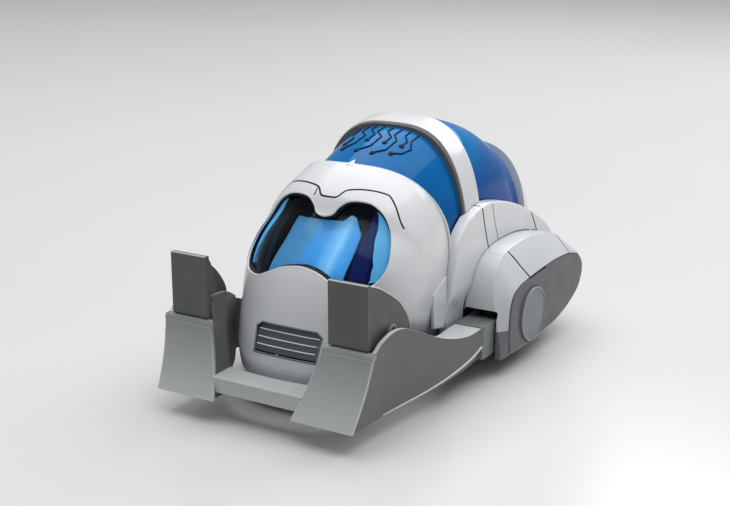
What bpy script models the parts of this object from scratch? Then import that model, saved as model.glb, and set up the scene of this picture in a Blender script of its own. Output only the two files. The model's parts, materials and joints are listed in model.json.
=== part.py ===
"""Two-wheel robot car with a lifting fork: a toy vehicle as an assembly of separate pieces.

The drawing below is in millimetres, and MM turns it into metres. The car's nose points along -Y,
+X is the car's own left, and the floor is Z = 0. Side views are (y, z) outlines, and a piece that
is there twice is drawn for the left side and mirrored for the right one.
"""

import math

import bmesh
import bpy

MM = 0.001
GAP = 0.35
SIDES = {"left": 1, "right": -1}

# Overall size
NOSE_Y = -101.1
TAIL_Y = 101.1
FLOOR_CLEARANCE = 9.6
WALL = 1.6

# Wheels and their axle line
AXLE_Y = 26.1
AXLE_Z = 20.6
TYRE_R = 20.6
RIM_R = 14.0
AXLE_R = 1.5
TYRE_X = (41.2, 48.2)

# Drive train: one gear motor to each wheel
GEAR_MODULE = 0.6
WHEEL_TEETH = 26
MOTOR_TEETH = 12
DRIVE_ANGLE = 151.0
DRIVE_GEAR_X = (24.2, 26.7)
MOTOR_R = 7.5
MOTOR_X = (2.0, 21.2)

# Lift train: one shaft across the car turns a toothed sector on each arm
LIFT_MODULE = 0.7
SECTOR_TEETH = 48
LIFT_TEETH = 12
LIFT_ANGLE = 60.0
SECTOR_X = (28.4, 30.1)
SECTOR_SPAN = (30.0, 90.0)

# Fork
BLADE_FOOT = (NOSE_Y, 9.3)
BLADE_HEAD = (-90.5, 36.9)
BLADE_FOOT_X = (17.7, 44.1)
BLADE_HEAD_X = (26.2, 46.9)
BAR_X = (37.9, 50.4)
BAR_Y = (-10.5, 3.2)
BAR_Z = (10.1, 23.9)
BEAM_END_Y = -10.9
CROSSBAR_Y = (-97.8, -85.0)
CROSSBAR_Z = (11.7, 17.8)
JAW_X = (27.3, 45.0)
JAW_Y = -90.0
JAW_Z = (37.6, 61.8)
JAW_HINGE = (-72.5, 39.5)

# Caster under the chin
CASTER_Y = -52.0
CASTER_R = 4.4

# Tub of the chassis
TUB_Z = (10.0, 32.6)
TUB_X = 32.3

# Cabin: hood edge, roll arch and rear trim are the planes that divide it
ARCH_Y = (2.2, 14.8)
TRIM_Y = (65.1, 67.2)
VIEW_WIDTH = 120.0

# The head is an egg: its middle side view shrinks towards a spine as it nears either flank.
HEAD = {
    "profile": [
        (-79.6, 4.0), (-81.7, 15.9), (-79.4, 23.3), (-75.1, 34.5), (-71.5, 45.5), (-67.1, 56.3),
        (-59.4, 65.7), (-50.7, 73.0), (-46.3, 80.0), (-39.1, 85.5), (-30.7, 89.5), (-15.8, 95.4),
        (2.2, 101.2), (18.0, 101.2), (31.5, 85.5), (36.0, 54.0), (31.5, 10.0), (13.5, -14.0),
        (-36.0, -18.0), (-68.0, -10.0),
    ],
    "spine": (-28.6, 51.9),
    "half_width": 36.9,
    "taper_up": 10.9,
    "taper_down": 7.0,
    "across": 3.44,
    "along": 2.78,
}
# The cabin is a second egg, lower and longer, with squarer shoulders.
CABIN = {
    "profile": [
        (-60.0, 60.0), (-52.0, 76.0), (-40.5, 83.2), (-30.2, 88.7), (-13.5, 95.6), (2.2, 100.6),
        (15.8, 102.6), (27.9, 101.6), (45.0, 96.0), (63.0, 86.0), (78.0, 74.5), (89.0, 62.0),
        (96.5, 48.0), (TAIL_Y, 33.0), (100.2, 20.0), (97.5, 8.0), (88.0, -6.0), (60.0, -12.0),
        (-20.0, -12.0), (-58.0, 20.0),
    ],
    "spine": (24.0, 50.0),
    "half_width": 35.6,
    "taper_up": 1.5,
    "taper_down": 0.0,
    "across": 2.7,
    "along": 2.6,
}
TAPER_SCALE = 45.0

HOOD_EDGE = [
    (-30.2, 90.0), (-28.8, 88.8), (-26.0, 86.2), (-22.7, 82.4), (-18.9, 76.5), (-16.2, 71.0),
    (-14.0, 65.2), (-12.8, 58.0), (-12.4, 40.0), (-12.4, FLOOR_CLEARANCE),
]
VISOR = [
    (0.0, 72.9), (3.6, 73.8), (5.6, 76.4), (9.0, 78.8), (14.0, 79.4), (19.4, 78.4), (24.2, 75.0),
    (27.6, 69.6), (30.3, 63.5), (31.3, 58.2), (30.0, 53.1), (26.4, 50.7), (19.6, 50.3),
    (14.4, 52.3), (8.0, 55.0), (0.0, 56.2),
]
VENT = [(-12.6, 34.4), (12.6, 34.4), (15.0, 32.6), (14.2, 23.4), (-14.2, 23.4), (-15.0, 32.6)]
DISPLAY = [(-17.0, 54.5), (17.0, 54.5), (14.0, 72.5), (-14.0, 72.5)]

# Side views of the wheel housing: the pod's own outline and that of its dark side panel
POD = [
    [(-0.9, 7.7), (-0.6, 18.0), (0.0, 27.9), (2.4, 38.2), (7.2, 45.0), (14.4, 48.8)],
    [(14.4, 48.8), (24.8, 50.4), (40.5, 50.4), (55.8, 48.3), (67.5, 45.0), (78.8, 38.6)],
    [(78.8, 38.6), (84.0, 31.0), (84.2, 22.5), (77.5, 14.8), (66.0, 10.2)],
    [(66.0, 10.2), (45.0, 8.4), (22.5, 7.7), (-0.9, 7.7)],
]
PANEL = [
    [(4.6, 8.7), (4.2, 15.0), (4.2, 21.5), (5.2, 28.4), (8.3, 33.6), (14.8, 36.0)],
    [(14.8, 36.0), (23.9, 37.0), (36.0, 37.8), (51.3, 38.2), (65.7, 37.2), (76.0, 34.6)],
    [(76.0, 34.6), (80.3, 30.5), (81.0, 25.0), (76.5, 18.4), (66.2, 13.6)],
    [(66.2, 13.6), (52.0, 10.2), (28.0, 8.6), (4.6, 8.7)],
]
PANEL_X = (54.2, 55.9)
HUB_CAP_R = 11.8
HUB_CAP_X = (56.25, 57.0)

FENDER = [
    [(-15.8, 10.2), (-15.8, 24.0), (-15.6, 39.1), (-12.6, 53.1), (-6.8, 60.8), (0.0, 65.7)],
    [(0.0, 65.7), (10.3, 68.6), (20.2, 68.6), (33.8, 66.0), (48.1, 61.6), (60.8, 56.2)],
    [(60.8, 56.2), (72.0, 50.6), (83.2, 43.2), (88.0, 34.0), (87.0, 18.0), (81.0, 10.2)],
    [(81.0, 10.2), (-15.8, 10.2)],
]
FENDER_INNER_X = 33.2
FENDER_WAIST_X = 36.4
FENDER_HIP_X = 38.9


# ---------------------------------------------------------------- outlines

def spline(points, steps):
    """Samples of an open Catmull-Rom curve through the points, its last point left out."""
    first = tuple(2 * a - b for a, b in zip(points[0], points[1]))
    last = tuple(2 * a - b for a, b in zip(points[-1], points[-2]))
    ends = [first, *points, last]
    samples = []
    for p0, p1, p2, p3 in zip(ends, ends[1:], ends[2:], ends[3:]):
        for step in range(steps):
            t = step / steps
            weights = (
                -0.5 * t + t * t - 0.5 * t ** 3,
                1 - 2.5 * t * t + 1.5 * t ** 3,
                0.5 * t + 2 * t * t - 1.5 * t ** 3,
                0.5 * t ** 3 - 0.5 * t * t,
            )
            pairs = zip(weights, (p0, p1, p2, p3))
            samples.append(tuple(map(sum, zip(*[(w * p[0], w * p[1]) for w, p in pairs]))))
    return samples


def outline(sections, steps=1):
    """A closed outline of smooth sections that meet at corners."""
    return [point for section in sections for point in spline(section, steps)]


def closed_spline(points, steps):
    """Samples of a smooth closed curve through the points."""
    count = len(points)
    padded = points[-2:] + points + points[:2]
    samples = spline(padded, steps)
    return samples[2 * steps:(2 + count) * steps]


def area_of(points):
    following = points[1:] + points[:1]
    return sum(a[0] * b[1] - b[0] * a[1] for a, b in zip(points, following)) / 2


def inset(points, depth):
    """The outline moved inwards by depth, or outwards by a negative depth."""
    turn = 1 if area_of(points) > 0 else -1
    moved = []
    for before, here, after in zip(points[-1:] + points[:-1], points, points[1:] + points[:1]):
        in_run = _unit(here[0] - before[0], here[1] - before[1])
        out_run = _unit(after[0] - here[0], after[1] - here[1])
        normal = _unit(-(in_run[1] + out_run[1]) * turn, (in_run[0] + out_run[0]) * turn)
        lean = max(0.5, -in_run[1] * turn * normal[0] + in_run[0] * turn * normal[1])
        moved.append((here[0] + normal[0] * depth / lean, here[1] + normal[1] * depth / lean))
    return moved


def _unit(a, b):
    length = math.hypot(a, b) or 1.0
    return a / length, b / length


def circle(centre, radius, count, start=0.0):
    turns = [start + 2 * math.pi * i / count for i in range(count)]
    return [(centre[0] + radius * math.cos(t), centre[1] + radius * math.sin(t)) for t in turns]


def mirrored(half):
    """A symmetric (x, z) outline from its half at x >= 0, which starts and ends on x = 0."""
    return half + [(-x, z) for x, z in reversed(half[1:-1])]


def ease(value, low, high):
    """0 below low, 1 above high, and a smooth step between."""
    t = min(1.0, max(0.0, (value - low) / (high - low)))
    return t * t * (3 - 2 * t)


def mix(a, b, t):
    return a + (b - a) * t


# ---------------------------------------------------------------- solids as (points, faces)

def loft(rings):
    """A skin over rings of equally many points, closed by the first and the last ring."""
    count = len(rings[0])
    faces = []
    for ring in range(len(rings) - 1):
        base = ring * count
        for i in range(count):
            j = (i + 1) % count
            faces.append((base + i, base + j, base + count + j, base + count + i))
    last = (len(rings) - 1) * count
    faces.append(tuple(range(count)))
    faces.append(tuple(range(last, last + count)))
    return [point for ring in rings for point in ring], faces


def side_ring(points, x):
    """A side-view outline at x, which may be a function of (y, z)."""
    place = x if callable(x) else (lambda y, z: x)
    return [(place(y, z), y, z) for y, z in points]


def plate(points, x0, x1):
    """A side-view outline with its thickness along X."""
    return loft([side_ring(points, x0), side_ring(points, x1)])


def front_prism(points, y0, y1):
    """A front-view (x, z) outline with its thickness along Y."""
    return loft([[(x, y, z) for x, z in points] for y in (y0, y1)])


def floor_prism(points, z0, z1):
    """A plan-view (x, y) outline with its thickness along Z."""
    return loft([[(x, y, z) for x, y in points] for z in (z0, z1)])


def box(x, y, z):
    return plate([(y[0], z[0]), (y[1], z[0]), (y[1], z[1]), (y[0], z[1])], x[0], x[1])


def turned(profile, centre, axis, count):
    """A closed (radius, height) profile turned about an axis through centre."""
    points = []
    for step in range(count):
        t = 2 * math.pi * step / count
        for radius, height in profile:
            a = radius * math.cos(t)
            b = radius * math.sin(t)
            point = {"x": (height, a, b), "y": (a, height, b), "z": (a, b, height)}[axis]
            points.append(tuple(c + p for c, p in zip(centre, point)))
    size = len(profile)
    faces = []
    for step in range(count):
        here = step * size
        there = (step + 1) % count * size
        for i in range(size):
            j = (i + 1) % size
            faces.append((here + i, here + j, there + j, there + i))
    return points, faces


def rod(centre, radius, x, count=16):
    """A round bar along X about the (y, z) centre."""
    return plate(circle(centre, radius, count), x[0], x[1])


def egg(shape, depth=0.0, around=1, across=18):
    """A closed egg, or the same egg shrunk by depth for the inside of its skin."""
    ring = inset(closed_spline(shape["profile"], around), depth)
    spine_y, spine_z = shape["spine"]
    points = []
    for i in range(1, across):
        share = 2 * i / across - 1
        side = math.copysign(1 - (1 - abs(share)) ** 1.8, share)
        shrink = (1 - abs(side) ** shape["across"]) ** (1 / shape["along"])
        for y, z in ring:
            tall = spine_z + shrink * (z - spine_z)
            rise = (tall - spine_z) / TAPER_SCALE
            taper = shape["taper_up"] if rise > 0 else shape["taper_down"]
            half = shape["half_width"] - depth - taper * rise * rise
            points.append((side * half, spine_y + shrink * (y - spine_y), tall))
    count = len(ring)
    faces = []
    for row in range(across - 2):
        for i in range(count):
            j = (i + 1) % count
            a, b = row * count, (row + 1) * count
            faces.append((a + i, a + j, b + j, b + i))
    for row, side in ((0, -1), (across - 2, 1)):
        points.append((side * (shape["half_width"] - depth), spine_y, spine_z))
        tip = len(points) - 1
        faces += [(row * count + i, row * count + (i + 1) % count, tip) for i in range(count)]
    return points, faces


def mirror_solid(solid, side):
    points, faces = solid
    return [(x * side, y, z) for x, y, z in points], faces


def gear_outline(centre, module, teeth, tooth_at, bore=None, span=None):
    """Straight-flanked teeth on a round root; a span in degrees leaves a sector on a hub."""
    pitch = 2 * math.pi / teeth
    tip = module * (teeth / 2 + 0.75)
    root = module * (teeth / 2 - 1.15)
    flanks = ((root, -0.27), (tip, -0.10), (tip, 0.10), (root, 0.27))
    points = []
    for tooth in range(teeth):
        angle = math.radians(tooth_at) + tooth * pitch
        if span and not span[0] <= math.degrees(angle) % 360 <= span[1]:
            continue
        for radius, shift in flanks:
            turn = angle + shift * pitch
            points.append((angle, radius * math.cos(turn), radius * math.sin(turn)))
    if span:
        points.sort(key=lambda point: point[0] % (2 * math.pi))
        hub = [math.radians(a) for a in range(int(span[1]) + 90, int(span[0]) + 271, 30)]
        points += [(0, bore * math.cos(a), bore * math.sin(a)) for a in hub]
    return [(centre[0] + y, centre[1] + z) for _, y, z in points]


# ---------------------------------------------------------------- Blender objects

FINISHES = {
    "white": ((0.80, 0.81, 0.83), 0.28, 0.0),
    "light_grey": ((0.42, 0.45, 0.46), 0.40, 0.0),
    "dark_grey": ((0.105, 0.112, 0.112), 0.50, 0.0),
    "panel_grey": ((0.11, 0.12, 0.13), 0.45, 0.0),
    "cap_grey": ((0.22, 0.24, 0.26), 0.40, 0.0),
    "black": ((0.01, 0.01, 0.012), 0.45, 0.0),
    "blue_glass": ((0.01, 0.12, 0.50), 0.08, 0.0),
    "display_blue": ((0.10, 0.42, 0.75), 0.20, 0.0),
    "rubber": ((0.02, 0.02, 0.02), 0.80, 0.0),
    "steel": ((0.60, 0.60, 0.62), 0.30, 1.0),
    "gear_white": ((0.75, 0.74, 0.70), 0.45, 0.0),
    "board_green": ((0.01, 0.12, 0.05), 0.50, 0.0),
    "cell_wrap": ((0.04, 0.05, 0.06), 0.35, 0.2),
}


def material(finish):
    found = bpy.data.materials.get(finish)
    if found:
        return found
    colour, roughness, metallic = FINISHES[finish]
    made = bpy.data.materials.new(finish)
    made.use_nodes = True
    shader = made.node_tree.nodes["Principled BSDF"]
    shader.inputs["Base Color"].default_value = (*colour, 1.0)
    shader.inputs["Roughness"].default_value = roughness
    shader.inputs["Metallic"].default_value = metallic
    return made


def add(name, solid, finish="black", origin=(0.0, 0.0, 0.0)):
    """A named object of one closed mesh, with its origin at a point of the drawing."""
    points, faces = solid
    mesh = bpy.data.meshes.new(name)
    shifted = [tuple((p - o) * MM for p, o in zip(point, origin)) for point in points]
    mesh.from_pydata(shifted, [], faces)
    work = bmesh.new()
    work.from_mesh(mesh)
    bmesh.ops.remove_doubles(work, verts=work.verts, dist=1e-7)
    wide = [face for face in work.faces if len(face.verts) > 4]
    bmesh.ops.triangulate(work, faces=wide, ngon_method="EAR_CLIP")
    bmesh.ops.recalc_face_normals(work, faces=work.faces)
    work.to_mesh(mesh)
    work.free()
    mesh.shade_smooth()
    mesh.set_sharp_from_angle(angle=math.radians(32))
    mesh.materials.append(material(finish))
    made = bpy.data.objects.new(name, mesh)
    made.location = [value * MM for value in origin]
    bpy.context.scene.collection.objects.link(made)
    return made


def helper(name, solid):
    """A solid that only shapes others."""
    made = add(name, solid)
    made.hide_render = True
    made.display_type = "WIRE"
    return made


def shape_by(made, operation, *others):
    for other in others:
        step = made.modifiers.new(f"{operation.lower()} {other.name}", "BOOLEAN")
        step.operation = operation
        step.object = other
        step.solver = "EXACT"
    return made


def cut(made, *others):
    return shape_by(made, "DIFFERENCE", *others)


def keep(made, *others):
    return shape_by(made, "INTERSECT", *others)


def join(made, *others):
    return shape_by(made, "UNION", *others)


def drill(name, centre, radius, x, count=16):
    return helper(name, rod(centre, radius, x, count))


def side_view_wall(points):
    return plate(points, -VIEW_WIDTH / 2, VIEW_WIDTH / 2)


# ---------------------------------------------------------------- head and cabin

def build_head(fender_room):
    edge = spline(HOOD_EDGE, 2) + [HOOD_EDGE[-1]]
    hood_region = helper(
        "hood_region",
        side_view_wall([(-120.0, FLOOR_CLEARANCE), (-120.0, 120.0), (-31.0, 120.0)] + edge),
    )
    visor = closed_spline(mirrored(VISOR), 1)
    visor_cut = helper("visor_cut", front_prism(visor, -110.0, -28.0))
    vent_cut = helper("vent_cut", front_prism(inset(VENT, -GAP), -110.0, -60.0))
    hood = add("hood_shell", egg(HEAD), "white")
    cut(hood, helper("hood_inside", egg(HEAD, WALL)))
    keep(hood, hood_region)
    cut(hood, visor_cut, vent_cut, *fender_room)

    def behind_skin(name, finish, depth, thickness, region, *openings):
        piece = add(name, egg(HEAD, depth), finish)
        cut(piece, helper(name + "_inside", egg(HEAD, depth + thickness)))
        keep(piece, helper(name + "_region", front_prism(region, -110.0, -34.0)))
        return cut(piece, *openings)

    bezel_mouth = helper("bezel_mouth", front_prism(inset(visor, 1.1), -110.0, -28.0))
    behind_skin("visor_bezel", "black", WALL + GAP, 1.3, inset(visor, -2.6), bezel_mouth)
    behind_skin("visor_lens", "blue_glass", WALL + 2 * GAP + 1.3, 1.4, inset(visor, -1.6))
    behind_skin("display_panel", "display_blue", 9.5, 1.4, DISPLAY)
    slits = [
        helper(f"vent_slit_{row}", box((-11.5, 11.5), (-110.0, -60.0), (z - 0.6, z + 0.6)))
        for row, z in enumerate((26.2, 28.9, 31.6))
    ]
    behind_skin("vent_grille", "cap_grey", 0.5, 1.8, VENT, *slits)


def build_cabin(fender_room):
    glass_out = 0.9
    edge = [(y + GAP, z) for y, z in spline(HOOD_EDGE, 2)]
    top = 120.0
    screen_region = [(-31.0 + GAP, top)] + edge + [
        (-12.4 + GAP, 53.5),
        (ARCH_Y[0] - GAP, 62.0),
        (ARCH_Y[0] - GAP, top),
    ]
    regions = {
        "windscreen": ("blue_glass", glass_out, 1.4, [p for p in screen_region if p[1] > 53.0]),
        "roll_arch": ("white", -1.0, 2.4, [(ARCH_Y[0] + 1.1, 60.0), (ARCH_Y[1], 60.0),
                                           (ARCH_Y[1], top), (ARCH_Y[0] + 1.1, top)]),
        "arch_gasket": ("dark_grey", -0.4, 2.0, [(ARCH_Y[0], 60.0), (ARCH_Y[0] + 0.75, 60.0),
                                                 (ARCH_Y[0] + 0.75, top), (ARCH_Y[0], top)]),
        "rear_window": ("blue_glass", glass_out, 1.4, [(ARCH_Y[1] + GAP, 46.0),
                                                       (TRIM_Y[0] - GAP, 46.0),
                                                       (TRIM_Y[0] - GAP, top),
                                                       (ARCH_Y[1] + GAP, top)]),
        "rear_trim": ("light_grey", 0.0, 2.2, [(TRIM_Y[0], 46.0), (TRIM_Y[1], 46.0),
                                               (TRIM_Y[1], top), (TRIM_Y[0], top)]),
        "rear_cap": ("white", 0.0, WALL, [(TRIM_Y[1] + GAP, FLOOR_CLEARANCE), (top, FLOOR_CLEARANCE),
                                          (top, top), (TRIM_Y[1] + GAP, top)]),
    }
    for name, (finish, depth, thickness, region) in regions.items():
        piece = add(name, egg(CABIN, depth), finish)
        inside = helper(name + "_inside", egg(CABIN, depth + thickness))
        cut(piece, inside)
        keep(piece, helper(name + "_region", side_view_wall(region)))
        cut(piece, *fender_room)


# ---------------------------------------------------------------- fenders and wheel pods

def fender_x(y, z):
    """The outer face of a fender: a narrow waist where the arm passes, and a hip above it."""
    return mix(FENDER_WAIST_X, FENDER_HIP_X, ease(z, 29.0, 38.0))


def build_fender(side, name):
    body = outline(FENDER)
    rings = [
        side_ring(inset(body, 3.0), lambda y, z: fender_x(y, z)),
        side_ring(inset(body, 1.0), lambda y, z: fender_x(y, z) - 0.9),
        side_ring(body, FENDER_INNER_X + 1.2),
        side_ring(inset(body, 0.3), FENDER_INNER_X),
        side_ring(inset(body, 2.0), FENDER_INNER_X),
        side_ring(inset(body, 2.6), lambda y, z: fender_x(y, z) - 2.2),
    ]
    piece = add("fender_" + name, mirror_solid(loft(rings), side), "white")
    pod_room = helper(
        "pod_room_" + name,
        mirror_solid(plate(inset(outline(POD), -GAP), 36.05, 60.0), side),
    )
    hole = drill("fender_hole_" + name, (AXLE_Y, AXLE_Z), 6.6, (30.0 * side, 60.0 * side), 24)
    return cut(piece, pod_room, hole)


def crease_x(y, z):
    """The edge between a pod's front or top and its chamfer leans outwards to the floor."""
    return mix(54.0, 47.6, ease(z, 8.0, 48.0))


def build_pod(side, name):
    body = outline(POD)
    panel = outline(PANEL)
    rings = [
        side_ring(inset(panel, -0.5), 53.85),
        side_ring(body, crease_x),
        side_ring(body, 41.0),
        side_ring(inset(body, 0.8), 38.4),
        side_ring(inset(body, 3.0), 36.4),
        side_ring(inset(body, 4.4), 36.4),
        side_ring(inset(body, 1.7), lambda y, z: 41.0),
        side_ring(inset(body, 1.7), lambda y, z: crease_x(y, z) - 1.1),
        side_ring(inset(panel, 0.9), 52.3),
    ]
    piece = add("pod_shell_" + name, mirror_solid(loft(rings), side), "white")
    well = helper("wheel_well_" + name, mirror_solid(box((30.0, 52.2), (4.0, 62.0), (0.0, 12.5)), side))
    mouth = [
        (30.0, 0.0), (51.75, 0.0), (51.75, 26.4), (50.3, 27.9), (37.4, 27.9), (36.4, 26.9), (30.0, 26.9),
    ]
    slot = helper("arm_slot_" + name, mirror_solid(front_prism(mouth, -5.0, 6.0), side))
    cut(piece, well, slot)

    skin = add(
        "side_panel_" + name,
        mirror_solid(
            loft([
                side_ring(panel, PANEL_X[0]),
                side_ring(panel, PANEL_X[1] - 0.5),
                side_ring(inset(panel, 0.5), PANEL_X[1]),
            ]),
            side,
        ),
        "panel_grey",
    )
    rim = circle((AXLE_Y, AXLE_Z), HUB_CAP_R, 32)
    add(
        "hub_cap_" + name,
        mirror_solid(
            loft([
                side_ring(rim, HUB_CAP_X[0]),
                side_ring(rim, HUB_CAP_X[1] - 0.3),
                side_ring(inset(rim, 0.6), HUB_CAP_X[1]),
            ]),
            side,
        ),
        "cap_grey",
    )
    return piece, skin


# ---------------------------------------------------------------- wheels and drive

def build_wheel(side, name):
    hub = (0.0, AXLE_Y, AXLE_Z)
    origin = (0.0, AXLE_Y, AXLE_Z)
    x0, x1 = TYRE_X
    bore = AXLE_R + GAP
    rim = [
        (bore, x0), (4.2, x0), (4.2, x0 + 2.4), (RIM_R - 2.0, x0 + 2.4), (RIM_R - 2.0, x0 + 0.4),
        (RIM_R, x0 + 0.4), (RIM_R, x1 - 0.4), (4.2, x1 - 0.4), (bore, x1 - 0.4),
    ]
    tyre = [
        (RIM_R + GAP, x0 + 0.3), (TYRE_R - 1.2, x0), (TYRE_R, x0 + 1.4),
        (TYRE_R, x1 - 1.4), (TYRE_R - 1.2, x1), (RIM_R + GAP, x1 - 0.3),
    ]
    add("wheel_" + name, mirror_solid(turned(rim, hub, "x", 20), side), "cap_grey", origin)
    add("tyre_" + name, mirror_solid(turned(tyre, hub, "x", 40), side), "rubber", origin)
    add(
        "axle_" + name,
        mirror_solid(rod((AXLE_Y, AXLE_Z), AXLE_R, (20.6, 52.0), 12), side),
        "steel",
        origin,
    )
    teeth = gear_outline((AXLE_Y, AXLE_Z), GEAR_MODULE, WHEEL_TEETH, DRIVE_ANGLE)
    gear = add(
        "drive_gear_" + name,
        mirror_solid(plate(teeth, *DRIVE_GEAR_X), side),
        "gear_white",
        origin,
    )
    cut(gear, drill("gear_bore_" + name, (AXLE_Y, AXLE_Z), bore, (20.0 * side, 30.0 * side)))


def motor_centre():
    reach = GEAR_MODULE * (WHEEL_TEETH + MOTOR_TEETH) / 2
    turn = math.radians(DRIVE_ANGLE)
    return AXLE_Y + reach * math.cos(turn), AXLE_Z + reach * math.sin(turn)


def lift_centre():
    reach = LIFT_MODULE * (SECTOR_TEETH + LIFT_TEETH) / 2
    turn = math.radians(LIFT_ANGLE)
    return AXLE_Y + reach * math.cos(turn), AXLE_Z + reach * math.sin(turn)


def build_motor(side, name):
    centre = motor_centre()
    motor = [
        (0.0, MOTOR_X[0]), (MOTOR_R - 0.8, MOTOR_X[0]), (MOTOR_R, MOTOR_X[0] + 0.8),
        (MOTOR_R, MOTOR_X[1] - 0.4), (3.0, MOTOR_X[1] - 0.4), (3.0, MOTOR_X[1]),
        (1.0, MOTOR_X[1]), (1.0, DRIVE_GEAR_X[1] + 0.4), (0.0, DRIVE_GEAR_X[1] + 0.4),
    ]
    rings = [side_ring(circle(centre, max(radius, 0.05), 24), x) for radius, x in motor]
    add("drive_motor_" + name, mirror_solid(loft(rings), side), "steel")
    half_tooth = 180.0 / MOTOR_TEETH
    teeth = gear_outline(centre, GEAR_MODULE, MOTOR_TEETH, DRIVE_ANGLE + 180.0 + half_tooth)
    pinion = add(
        "motor_pinion_" + name,
        mirror_solid(plate(teeth, *DRIVE_GEAR_X), side),
        "gear_white",
        (0.0, *centre),
    )
    cut(pinion, drill("pinion_bore_" + name, centre, 1.0 + GAP, (20.0 * side, 30.0 * side), 12))
    bracket_view = [(8.0, 12.4), (38.0, 12.4), (38.0, 26.0), (24.0, 34.0), (8.0, 34.0)]
    bracket = add(
        "gearbox_plate_" + name,
        mirror_solid(plate(bracket_view, 21.6, 23.4), side),
        "light_grey",
    )
    span = (20.0 * side, 30.0 * side)
    cut(bracket, drill("plate_axle_hole_" + name, (AXLE_Y, AXLE_Z), AXLE_R + GAP, span))
    cut(bracket, drill("plate_motor_hole_" + name, centre, 1.0 + GAP, span, 12))


# ---------------------------------------------------------------- lifting fork

def cheek_x(y, z):
    """Outer face of the fork's side: it flares from the blade to the full width of the bar."""
    front = BLADE_FOOT_X[1] + 2.8 * (z - BLADE_FOOT[1]) / (BLADE_HEAD[1] - BLADE_FOOT[1])
    return mix(front, BAR_X[1], ease(y, -92.0, -16.0))


def cheek_inner_x(y, z):
    """Inner face of the same side: a thin cheek at the blade, a deep beam at the bar."""
    return cheek_x(y, z) - mix(2.1, BAR_X[1] - BAR_X[0], ease(y, -55.0, -15.0))


def inner_cheek_x(y, z):
    """The cheek nearer the head: square to the blade in front, then flared around the head."""
    slant = (BLADE_HEAD_X[0] - BLADE_FOOT_X[0]) / (BLADE_HEAD[1] - BLADE_FOOT[1])
    front = BLADE_FOOT_X[0] + 0.3 + slant * (z - BLADE_FOOT[1])
    back = 24.5 + 0.47 * max(0.0, y + 84.0)
    return mix(front, back, ease(y, -86.5, -77.0))


# Sections of the fork's outer side along Y: (y, lower edge, upper edge)
OUTER_CHEEK = [
    (-100.4, 9.5, 10.5), (-95.4, 9.4, 23.5), (-90.3, 9.4, 36.7), (-88.0, 9.4, 37.2),
    (-84.6, 9.4, 39.6), (-81.0, 9.3, 41.1), (-77.5, 9.3, 41.6), (-73.8, 9.3, 41.6),
    (-70.2, 9.3, 41.0), (-66.4, 9.3, 39.7), (-62.7, 9.3, 37.9), (-54.9, 9.3, 34.4),
    (-46.9, 9.4, 30.8), (-38.7, 9.4, 27.7), (-30.2, 9.6, 25.3), (-21.6, 9.9, 23.8),
    (BEAM_END_Y, 10.3, 23.6),
]
INNER_CHEEK = [
    [(-100.4, 9.8), (-90.1, 36.4)],
    [(-90.1, 36.4), (-87.7, 36.9)],
    [(-87.7, 36.9), (-87.0, 41.0), (-84.4, 44.8), (-80.0, 45.6), (-75.0, 44.2), (-69.3, 40.9),
     (-63.5, 33.0), (-62.0, 20.0), (-68.0, 11.5)],
    [(-68.0, 11.5), (-84.0, 9.8), (-100.4, 9.8)],
]
JAW_CHEEK = [
    [(JAW_Y, JAW_Z[0]), (JAW_Y, JAW_Z[1])],
    [(JAW_Y, JAW_Z[1]), (-88.4, 61.5), (-81.9, 59.1), (-74.7, 55.1), (-67.2, 50.2), (-62.2, 44.9),
     (-59.2, 40.0), (-58.6, 36.5)],
    [(-58.6, 36.5), (-72.0, 35.0), (JAW_Y, JAW_Z[0])],
]
JAW_INNER_CHEEK = [
    [(JAW_Y, 46.4), (JAW_Y, JAW_Z[1])],
    [(JAW_Y, JAW_Z[1]), (-88.6, 61.4), (-86.4, 58.0), (-84.4, 52.0), (-83.6, 46.4)],
    [(-83.6, 46.4), (JAW_Y, 46.4)],
]


def build_blade():
    rings = []
    for step in range(7):
        t = step / 6
        hollow = 0.8 * math.sin(math.pi * t)
        y = mix(BLADE_FOOT[0], BLADE_HEAD[0], t) + hollow
        z = mix(BLADE_FOOT[1], BLADE_HEAD[1], t)
        x0 = mix(BLADE_FOOT_X[0], BLADE_HEAD_X[0], t)
        x1 = mix(BLADE_FOOT_X[1], BLADE_HEAD_X[1], t) - 0.2
        rings.append([(x0, y, z), (x1, y, z), (x1, y + 1.9, z), (x0, y + 1.9, z)])
    return loft(rings)


def build_ramp(side, name):
    sections = []
    for y, low, high in OUTER_CHEEK:
        corner = min(0.6, 0.3 * (high - low))
        sections.append([
            (cheek_inner_x(y, low), y, low), (cheek_x(y, low) - corner, y, low),
            (cheek_x(y, low + corner), y, low + corner), (cheek_x(y, high - corner), y, high - corner),
            (cheek_x(y, high) - corner, y, high), (cheek_inner_x(y, high), y, high),
        ])
    outer_solid = loft(sections)
    inner = outline(INNER_CHEEK)
    inner_solid = loft([
        side_ring(inner, inner_cheek_x),
        side_ring(inner, lambda y, z: inner_cheek_x(y, z) + 1.8),
    ])
    ramp = add("ramp_" + name, mirror_solid(build_blade(), side), "light_grey", (0.0, AXLE_Y, AXLE_Z))
    join(ramp, helper("outer_cheek_" + name, mirror_solid(outer_solid, side)))
    join(ramp, helper("inner_cheek_" + name, mirror_solid(inner_solid, side)))
    cut(ramp, drill("pin_hole_" + name, JAW_HINGE, 1.55, (26.0 * side, 46.9 * side), 12))


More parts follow.
